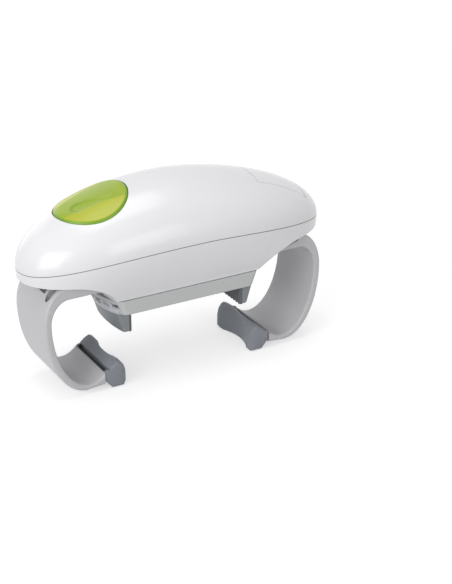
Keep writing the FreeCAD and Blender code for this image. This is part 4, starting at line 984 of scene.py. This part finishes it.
@dataclass(frozen=True)
class GripPad:
    """The soft pad on an arm's end: a crown with two lobes, a hollow for the jar and a lip on the arm."""

    half: float = 21.6  # half the width across
    lobe: float = 41.9  # X of the lobes' inner side
    low: float = -44.2  # height of the sole
    tip: float = 56.45  # X of the outer side
    groove: Pair = (53.3, 55.3)  # X of the groove's inner and outer wall
    groove_floor: float = -37.0
    end_wall: float = 2.6  # closes the groove at both ends
    wall_tops: Pair = (-32.6, -31.2)  # those walls' heights, outside and inside
    hollow_middle: float = 15.4  # X of the middle of the jar's circle
    hollow_radius: float = 32.0
    web: float = 0.3  # least wall between hollow and groove
    saddle: float = 1.5  # dip of the crown between the lobes
    saddle_share: float = 0.72  # half the dip's width over half the pad's
    corner: float = 4.0  # in plan
    edge_round: float = 0.7
    end_round: float = 2.0
    heart: Pair = (50.0, -36.5)  # X and Z that the ends are drawn towards
    span: Pair = (7.5, 8.5)  # the outline's half width and height around it

    def outlines(self, y: np.ndarray) -> np.ndarray:
        """Side outline at each place across.

        The inner side stands back to the hollow's circle, x = middle + sqrt(radius² - y²), and to the
        rounded corners in plan, x = lobe + corner - sqrt(corner² - over²), where over is how far y is
        into the corner.  The crown dips by saddle * (1 - (y / (share * half))²).  The end walls fill
        the groove, with its undercut, up to a slope from one wall top to the other.

        Args:
            y: places across the pad.

        Returns:
            (places, corners, 2) array of x and z.
        """
        near, far = self.groove
        outer = [(self.tip, -36.25)]
        lip_and_groove = [(self.tip, -33.9), (56.1, -33.4), (far, -33.5), (far, self.groove_floor),
                          (near + 0.9, self.groove_floor), (near + 0.8, -34.1), (near - 1.2, -33.6),
                          (near - 1.2, -32.5), (near + 0.3, -32.0)]
        crown = [(near, -31.1), (50.4, -28.7), (47.6, -27.3), (45.8, -28.1), (43.7, -31.0), (42.5, -34.6)]
        sole = [(self.lobe, -38.6), (self.lobe + 0.2, -42.0), (43.9, self.low), (51.4, self.low),
                (54.8, -40.4), (self.tip, -38.6)]
        rings = np.repeat(np.array([outer + lip_and_groove + crown + sole]), len(y), axis=0)
        lip_start, crown_start = len(outer), len(outer + lip_and_groove)
        sole_start = crown_start + len(crown)
        across = np.abs(y)[:, None]
        closed = self.half - self.end_wall < across[:, 0]
        rings[closed, lip_start:crown_start, 1] = np.linspace(*self.wall_tops, len(lip_and_groove))
        hollow = self.hollow_middle + np.sqrt(self.hollow_radius ** 2 - across ** 2)
        over = np.maximum(0, across - (self.half - self.corner))
        plan = self.lobe + self.corner - np.sqrt(np.maximum(0, self.corner ** 2 - over ** 2))
        rings[..., 0] = np.maximum(rings[..., 0], np.minimum(np.maximum(hollow, plan), near - self.web))
        dip = np.maximum(0, 1 - (across / (self.saddle_share * self.half)) ** 2)
        rings[:, crown_start:sole_start, 1] -= self.saddle * dip
        return rings

    def build(self, wardrobe: Wardrobe, side: Side) -> None:
        """Makes one pad, its ends drawn in towards its heart, and lets it stand for its CAD node.

        Args:
            wardrobe: the nodes and finishes.
            side: the arm that it belongs to.
        """
        y, inset = rounded_ends(-self.half, self.half, self.end_round, inner=90)
        outline = rounded(self.outlines(y), self.edge_round)
        outline = self.heart + (outline - self.heart) * (1 - inset[:, None, None] / self.span)
        node = f"{side.name.lower()}_arm_pad"
        coordinates = outline[..., 0] * side.value, y[:, None], outline[..., 1]
        wardrobe.stand_in(make_tube("soft_" + node, coordinates, crease=40.0), node)


@dataclass(frozen=True)
class JawGrip:
    """The ridged rubber strip on the inner face of a jaw."""

    face: float = 36.6  # X of the ridges' crests
    thickness: float = 2.0  # from there to the strip's back
    half: float = 18.8  # half the width across
    margin: float = 0.15  # from the ridged face to each end
    low: float = -11.2
    top: float = 1.6
    ridges: int = 12
    depth: float = 0.8  # of the valleys
    end_round: float = 0.4
    per_ridge: int = 14  # points
    back_points: int = 24

    def build(self, wardrobe: Wardrobe, side: Side) -> None:
        """Makes one strip: in plan its face is depth * ((1 + cos of the ridge's turn) / 2)² behind its crests.

        Args:
            wardrobe: the nodes and finishes.
            side: the jaw that it belongs to.
        """
        y = np.linspace(self.margin - self.half, self.half - self.margin, self.ridges * self.per_ridge + 1)
        turn = (y + self.half) / (2 * self.half) * self.ridges * 2 * math.pi
        front = np.stack([self.face + self.depth * ((1 + np.cos(turn)) / 2) ** 2, y], -1)
        back_y = np.linspace(self.half, -self.half, self.back_points)
        back = np.stack([np.full_like(back_y, self.face + self.thickness), back_y], -1)
        z, inset = rounded_ends(self.low, self.top, self.end_round, inner=12, bend=5)
        outline = drawn_in(np.repeat(np.vstack([front, back])[None], len(z), axis=0), inset)
        node = f"{side.name.lower()}_jaw_grip"
        coordinates = outline[..., 0] * side.value, outline[..., 1], z[:, None]
        wardrobe.stand_in(make_tube("ridged_" + node, coordinates, crease=50.0), node)


@dataclass(frozen=True)
class StopPad:
    """The round rubber pad that meets the lid, with rings moulded into its underside."""

    radius: float = 12.0
    thickness: float = 1.8
    edge: float = 0.6  # rounding of the lower edge
    bevel: float = 0.1  # of the upper edge, and radius of the smallest ring
    ringed: float = 9.0  # reach of the moulded rings
    ring_pitch: float = 3.0
    ring_depth: float = 0.3
    reach_rings: int = 80
    around: int = 120

    def build(self, wardrobe: Wardrobe) -> None:
        """Makes the pad: its underside is at ring depth * sin² of the radius over the pitch.

        Args:
            wardrobe: the nodes and finishes.
        """
        flat = self.radius - self.edge
        reach = np.linspace(self.bevel, flat, self.reach_rings)
        under = self.ring_depth * np.sin(math.pi * reach / self.ring_pitch) ** 2 * (reach < self.ringed)
        out, back = quarter_round(self.edge)
        top = [(self.radius, self.thickness - self.bevel), (self.radius - self.bevel, self.thickness),
               (self.bevel, self.thickness)]
        profile = np.vstack([np.stack([reach, under], -1), np.stack([flat + out, back], -1), top])
        radii, heights = profile[:, :1], profile[:, 1:]
        turn = np.linspace(0, 2 * math.pi, self.around, endpoint=False)
        coordinates = radii * np.cos(turn), radii * np.sin(turn), heights
        wardrobe.stand_in(make_tube("ringed_stop_pad", coordinates, crease=50.0), "lid_stop_pad")


# ---- studio

@dataclass(frozen=True)
class Lamp:
    """A soft square lamp."""

    name: str
    place: Triple
    power: float
    size: float
    aim: Triple = (0.0, 0.0, 0.02)

    def build(self) -> None:
        """Adds the lamp, turned to the jar opener."""
        light = bpy.data.lights.new(self.name, "AREA")
        light.energy, light.size = self.power, self.size
        seat = add_object(self.name, light)
        seat.location = self.place
        seat.rotation_euler = (Vector(self.aim) - Vector(self.place)).to_track_quat("-Z", "Y").to_euler()


@dataclass(frozen=True)
class Studio:
    """Floor, room, lamps and camera, in metres."""

    azimuth: float = math.radians(-29.77)  # the camera's direction, from -Y towards +X
    elevation: float = math.radians(24.813)
    distance: float = 946.946 * MM
    aim: Triple = (37.791 * MM, 0.0, -10.355 * MM)
    focal_length_mm: float = 93.73
    film_height_mm: float = 36.0
    clip: Pair = (0.05, 20.0)
    floor_z: float = -0.0443  # just under the pads
    floor_half: float = 6.0
    paper: float = 0.62  # brightness of the floor
    lift: float = 0.57  # glow that makes the floor white to look at
    far_lift: float = 0.85  # that glow far out
    lift_range: Pair = (0.3, 1.6)  # from the near glow to the far one
    room: float = 0.36  # how strongly the room lights; it looks 1
    lamps: tuple[Lamp, ...] = (Lamp("overhead", (0.0, 0.05, 1.15), 4.2, 0.7),
                               Lamp("left", (-1.25, -0.5, 0.55), 9.8, 1.0),
                               Lamp("front", (0.25, -1.45, 0.5), 4.0, 0.8),
                               Lamp("rear", (-0.1, 1.4, 0.35), 1.8, 0.9))

    def camera(self) -> None:
        """Puts the camera on the viewing direction, looking at the aim point.

        The direction back to it is (sin a cos e, -cos a cos e, sin e) of azimuth a and elevation e.
        """
        a, e = self.azimuth, self.elevation
        back = np.array([math.sin(a) * math.cos(e), -math.cos(a) * math.cos(e), math.sin(e)])
        right = np.array([math.cos(a), math.sin(a), 0.0])
        turn = np.eye(4)
        turn[:3, 0], turn[:3, 1], turn[:3, 2] = right, np.cross(back, right), back
        turn[:3, 3] = np.array(self.aim) + back * self.distance
        lens = bpy.data.cameras.new("camera")
        lens.sensor_fit = "VERTICAL"
        lens.sensor_height = self.film_height_mm
        lens.lens = self.focal_length_mm
        lens.clip_start, lens.clip_end = self.clip
        seat = add_object("camera", lens)
        seat.matrix_world = Matrix(turn.tolist())
        bpy.context.scene.camera = seat

    def floor(self) -> None:
        """A wide pale floor that shows as white paper and keeps the shadow."""
        half = self.floor_half
        mesh = bpy.data.meshes.new("floor")
        corners = [(x * half, y * half, self.floor_z) for x, y in ((-1, -1), (1, -1), (1, 1), (-1, 1))]
        mesh.from_pydata(corners, [], [(0, 1, 2, 3)])
        graph = Graph.of_material("paper")
        seen = self.seen(graph)
        away = graph.node("ShaderNodeVectorMath", {"operation": "LENGTH"}, {0: graph.place()}, "Value")
        black, paper, near, far = ((level, level, level, 1.0)
                                   for level in (0.0, self.paper, self.lift, self.far_lift))
        lift = graph.blend(away.step(*self.lift_range), near, far)
        graph.set(Base_Color=paper, Roughness=0.9, Specular_IOR_Level=0.0, Emission_Strength=1.0,
                  Emission_Color=graph.blend(seen, black, lift))
        mesh.materials.append(graph.material)
        add_object("floor", mesh)

    @staticmethod
    def seen(graph: Graph) -> Signal:
        """Tells what is looked at from what lights.

        Args:
            graph: the floor's or the room's graph.

        Returns:
            1 for rays from the camera, from gloss and through clear things, and 0 for the others.
        """
        rays = [graph.node("ShaderNodeLightPath", {}, {}, name)
                for name in ("Is Camera Ray", "Is Glossy Ray", "Is Transmission Ray")]
        return (rays[0] + rays[1] + rays[2]).clamped()

    def world(self) -> None:
        """A white room to look at, which lights at its own lower level."""
        world = bpy.data.worlds.new("room")
        world.use_nodes = True
        graph = Graph(world.node_tree, world.node_tree.nodes["Background"])
        graph.set(Strength=self.seen(graph) * (1 - self.room) + self.room, Color=(1.0, 1.0, 1.0, 1.0))
        bpy.context.scene.world = world

    def build(self) -> None:
        """Sets the whole studio up."""
        bpy.context.scene.view_settings.view_transform = "Standard"
        self.camera()
        self.floor()
        self.world()
        for lamp in self.lamps:
            lamp.build()


def main() -> None:
    """Loads the frame, dresses it, adds the detailed pieces and sets the studio up."""
    logging.basicConfig(level=logging.INFO, format="%(message)s")
    wardrobe = Wardrobe(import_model())
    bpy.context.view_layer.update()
    form = EggForm()
    Studio().build()
    wardrobe.dress_nodes()
    for node, half in (("top_shell", Half.UPPER), ("battery_door", Half.UPPER), ("bottom_shell", Half.LOWER)):
        Shell(node, half).build(wardrobe, form)
    ButtonCap().build(wardrobe, form)
    for side in Side:
        GripPad().build(wardrobe, side)
        JawGrip().build(wardrobe, side)
    StopPad().build(wardrobe)


if __name__ == "__main__":
    main()
